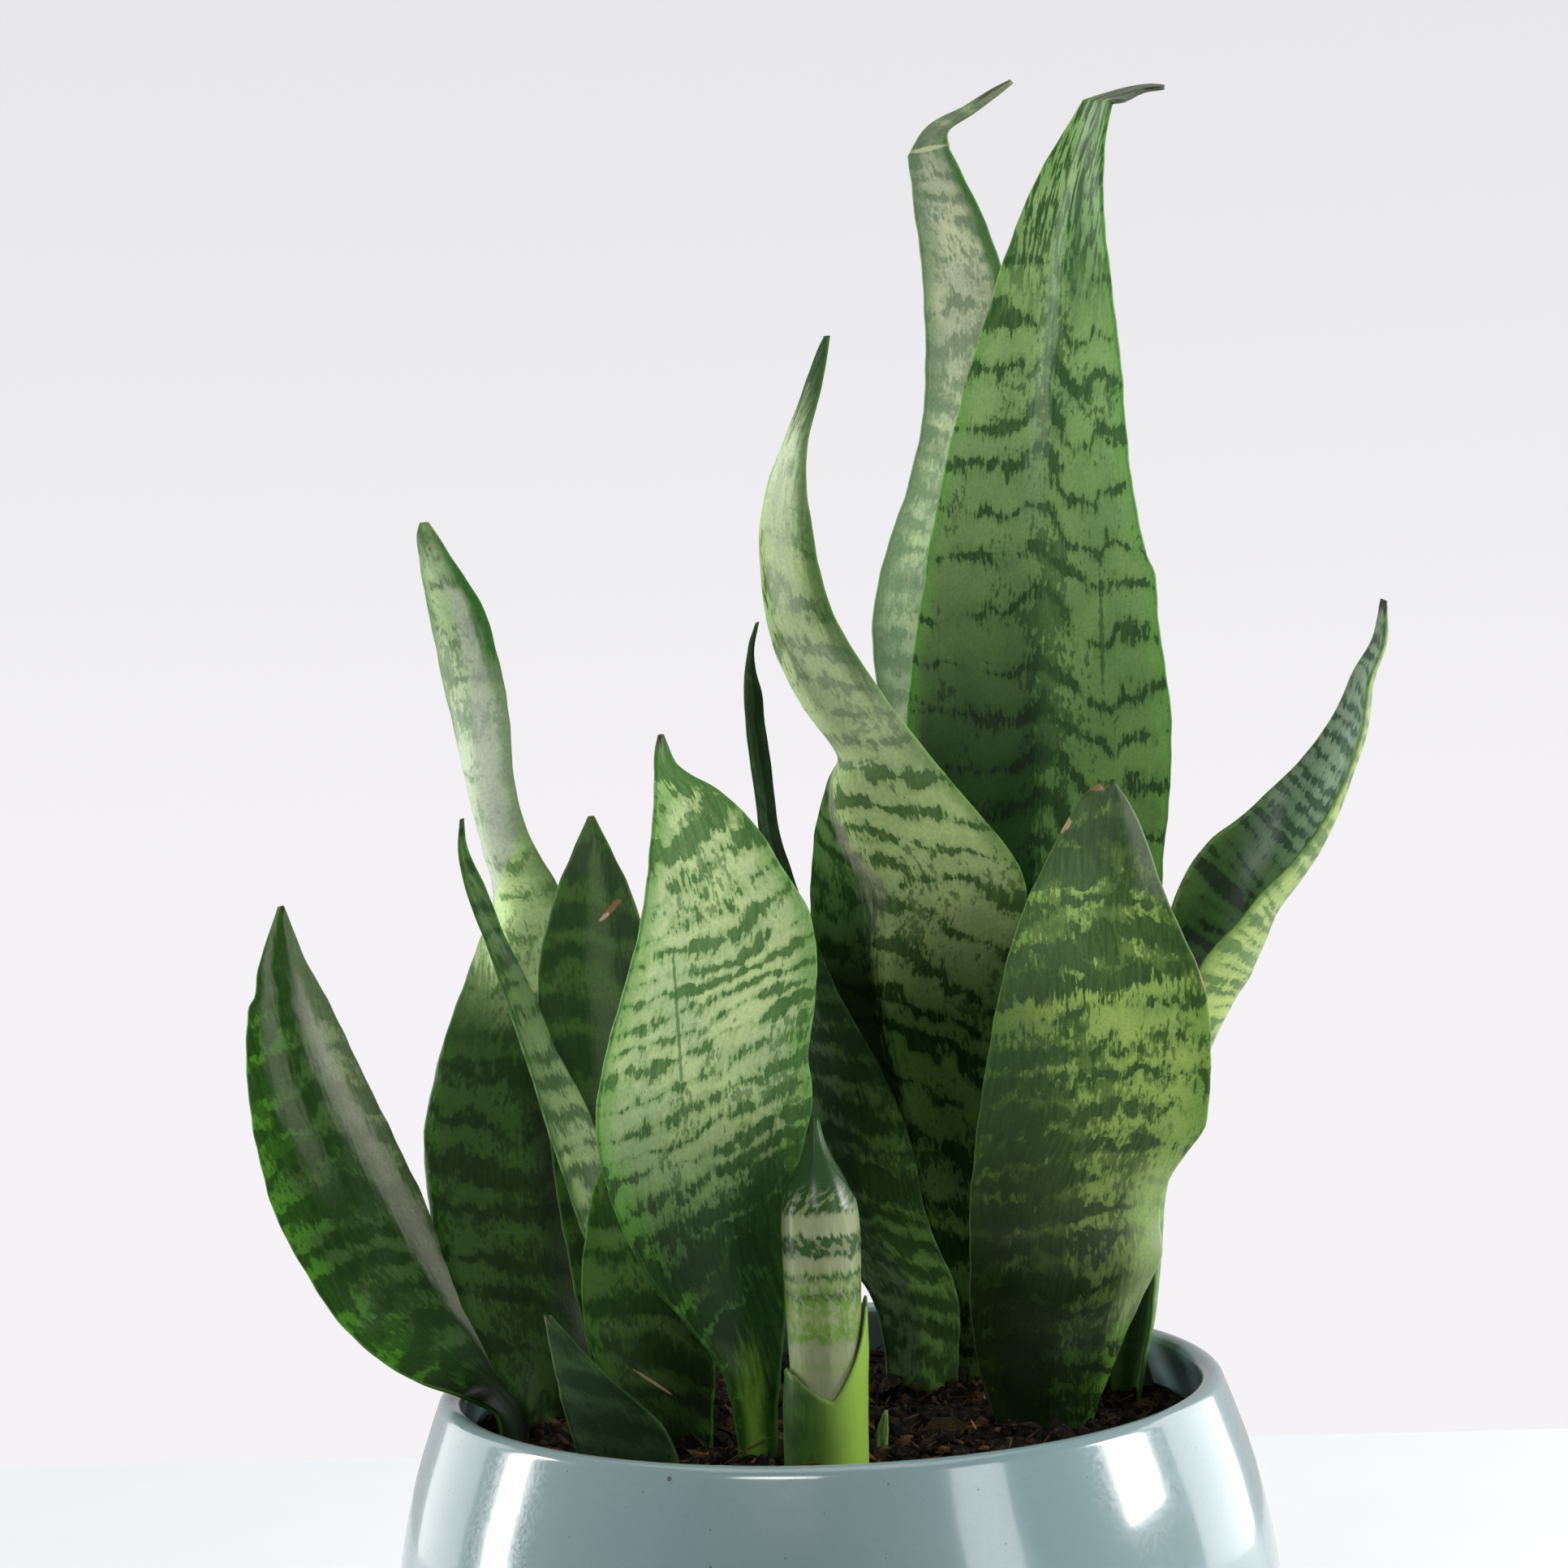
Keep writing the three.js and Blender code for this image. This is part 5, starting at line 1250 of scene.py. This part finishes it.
def buildSoil():
    points, rings, sides = [], [], soil["sides"]
    gap, lift = soil["wallGap"]
    low, high = soil["wallSpan"]
    wall = [(r - gap, z + lift) for r, z in wallLine(pot["inner"], 20)[::-1] if low < z < high]
    top = [(soil["radius"] * (1 - i / soil["rings"]), None) for i in range(soil["rings"])]
    for radius, z in [soil["foot"], *wall, *top]:
        rings.append(len(points))
        for k in range(sides):
            turn = 2 * math.pi * k / sides
            x, y = radius * math.cos(turn), radius * math.sin(turn)
            points.append((x, y, soilHeight(x, y) if z is None else z))
    faces = ringFaces(rings, sides)
    faces.append(tuple(range(sides)))
    faces.append(tuple(rings[-1] + k for k in range(sides)))
    grains = [0.3] * len(points)
    chance = random.Random(soil["seed"])

    def spotOnSoil(most):
        radius = most * math.sqrt(chance.random())
        turn = chance.uniform(0, 2 * math.pi)
        return radius * math.cos(turn), radius * math.sin(turn)

    count, reach = soil["crumbs"]
    for _ in range(count):
        x, y = spotOnSoil(reach)
        size = chance.uniform(0.35, 0.8) + 2.2 * chance.random() ** 6
        sizes = [size * chance.uniform(0.5, 1.4) for _ in range(3)]
        turn = Euler([chance.uniform(0, 6.28) for _ in range(3)])
        place = (x, y, soilHeight(x, y) + 0.25 * size)
        addCrumb(points, faces, grains, place, sizes, turn, chance.random() * 0.6)
    count, reach = soil["chips"]
    for _ in range(count):
        x, y = spotOnSoil(reach)
        length = chance.uniform(0.8, 2.4) + 1.6 * chance.random() ** 5
        sizes = (length, length * chance.uniform(0.2, 0.45), chance.uniform(0.35, 0.7))
        turn = Euler((chance.uniform(-0.7, 0.7), chance.uniform(-0.7, 0.7), chance.uniform(0, 6.28)))
        place = (x, y, soilHeight(x, y) + 0.5)
        addCrumb(points, faces, grains, place, sizes, turn, chance.uniform(0.66, 0.8))
    count, reach = soil["straws"]
    for _ in range(count):
        x, y = spotOnSoil(reach)
        sizes = (chance.uniform(0.8, 2.4) + 3 * chance.random() ** 8, 0.18, 0.18)
        turn = Euler((0, chance.uniform(-0.6, 0.6), chance.uniform(0, 6.28)))
        place = (x, y, soilHeight(x, y) + 0.9)
        grain = chance.uniform(0.6, 0.86) + 0.14 * (sizes[0] > 2.4)   # the longest are the palest
        addCrumb(points, faces, grains, place, sizes, turn, grain)
    return makeObject("soil_top", points, faces, numbers={"grain": grains}, smooth=False)


def soilFinish():
    material, tree, shader = startMaterial("soil_finish")
    here = placeInMm(tree)
    grain = attribute(tree, "grain", "Fac")
    fine = cloud(here, 0.9, 5, 0.7)
    colour = blended(fade(fine, 0.48, 0.76), soil["dark"], soil["brown"])
    colour = blended(fade(grain, 0.42, 0.62, 0.0, 0.5), colour, soil["brown"])
    colour = blended(fade(grain, 0.64, 0.8), colour, soil["bark"])
    colour = blended(fade(grain, 0.92, 0.98), colour, soil["pale"])
    hollows = fade(cloud(here, 0.16, 3), 0.45, 0.65, 0.0, 0.4)
    feed(shader, {
        "Base Color": blended(hollows, colour, soil["dark"]),
        "Roughness": fade(fine, 0.3, 0.7, 0.75, 0.95),
        "Normal": addBump(fine, 0.9, 0.0012),
        "Specular IOR Level": 0.12,
    })
    return material


ground = buildSoil()
ground.data.materials.append(soilFinish())
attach(ground, "root")
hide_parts("soil")
print("soil filled in")


# Table, backdrop, light and camera

studio = {
    "table": (231, 234, 237),
    "tableNear": -2.4,                               # metres
    "tableFar": (0.557, 0.349),                      # left and right end of the far edge
    "tableWidth": 3.2,
    "backdropLow": (245, 243, 246),
    "backdropHigh": (232, 231, 233),
    "ambientFront": 0.14,                            # light of the room, as a share of what is seen
    "ambientBehind": 0.62,
    "softboxes": [  # place, size and light of each, all turned to the pot
        {"name": "left", "at": (-1.5, 0.2, 0.4), "size": (0.22, 1.3), "watts": 25},
        {"name": "right", "at": (1.5, -0.05, 0.62), "size": (0.42, 0.6), "watts": 22},
        {"name": "left_back", "at": (-1.2, 0.9, 0.45), "size": (0.8, 1.2), "watts": 5},
        {"name": "right_back", "at": (1.25, 0.75, 0.45), "size": (0.9, 1.2), "watts": 9.5},
        {"name": "window", "at": (1.0, -1.2, 0.45), "size": (0.42, 1.1), "watts": 7},
        {"name": "above", "at": (-0.25, -0.8, 0.8), "size": (0.4, 0.4), "watts": 0.38, "spread": 36,
         "aim": (0.0, 0.0, 0.34)},
        {"name": "top", "at": (0.0, 0.25, 1.7), "size": (1.3, 1.3), "watts": 7},
    ],
}


def flatSheet(name, corners):
    return makeObject(name, [tuple(c / mm for c in corner) for corner in corners], [(0, 1, 2, 3)])


def stageFinish(name, colour, roughness):
    material, tree, shader = startMaterial(name)
    share = fade(cloud(placeInMm(tree), 0.02, 3), 0.3, 0.7, 0.985, 1.0)
    feed(shader, {"Base Color": shaded(colour, share), "Roughness": roughness})
    return material


def setRoom():
    world = bpy.context.scene.world or bpy.data.worlds.new("room")
    bpy.context.scene.world = world
    world.use_nodes = True
    tree = world.node_tree
    depth, height = parted(Flow(addNode("TexCoord", {}, tree)["Generated"]))[1:]
    ambient = fade(depth, -0.3, 0.9, studio["ambientFront"], studio["ambientBehind"])
    seen = Flow(addNode("LightPath", {}, tree)["Is Camera Ray"])
    feed(tree.nodes["Background"], {
        "Color": blended(fade(height, -0.1, 0.3), studio["backdropLow"], studio["backdropHigh"]),
        "Strength": ambient + (1.0 - ambient) * seen,
    })
    bpy.context.scene.view_settings.view_transform = "Standard"


def setStage():
    near = studio["tableNear"]
    farLeft, farRight = studio["tableFar"]
    side = studio["tableWidth"] / 2
    corners = [(-side, near, 0), (side, near, 0), (side, farRight, 0), (-side, farLeft, 0)]
    table = flatSheet("table_top", corners)
    table.data.materials.append(stageFinish("table_finish", studio["table"], 0.4))
    setRoom()
    for box in studio["softboxes"]:
        lamp = bpy.data.lights.new("softbox_" + box["name"], "AREA")
        lamp.shape = "RECTANGLE"
        lamp.size, lamp.size_y = box["size"]
        lamp.energy = box["watts"]
        lamp.spread = math.radians(box.get("spread", 180))
        held = bpy.data.objects.new(lamp.name, lamp)
        bpy.context.scene.collection.objects.link(held)
        held.location = box["at"]
        held.visible_camera = False
        aim = Vector(box.get("aim", (0, 0, 0.2))) - Vector(box["at"])
        held.rotation_euler = aim.to_track_quat("-Z", "Y").to_euler()


view = {
    "lens": 64.62,                                   # mm, on the width of the sensor
    "sensor": 36,
    "at": (-0.004, -0.505, 0.226),
    "roll": 2.3,                                     # degrees
}


def setCamera():
    camera = bpy.data.cameras.new("camera")
    camera.lens = view["lens"]
    camera.sensor_width = view["sensor"]
    camera.clip_start = 0.01
    held = bpy.data.objects.new("camera", camera)
    bpy.context.scene.collection.objects.link(held)
    roll = math.radians(view["roll"])
    right = Vector((math.cos(roll), 0, -math.sin(roll)))
    up = Vector((math.sin(roll), 0, math.cos(roll)))
    back = Vector((0, -1, 0))
    turn = Matrix((right, up, back)).transposed().to_4x4()
    held.matrix_world = Matrix.Translation(view["at"]) @ turn
    bpy.context.scene.camera = held


setStage()
setCamera()
print("stage, light and camera set")
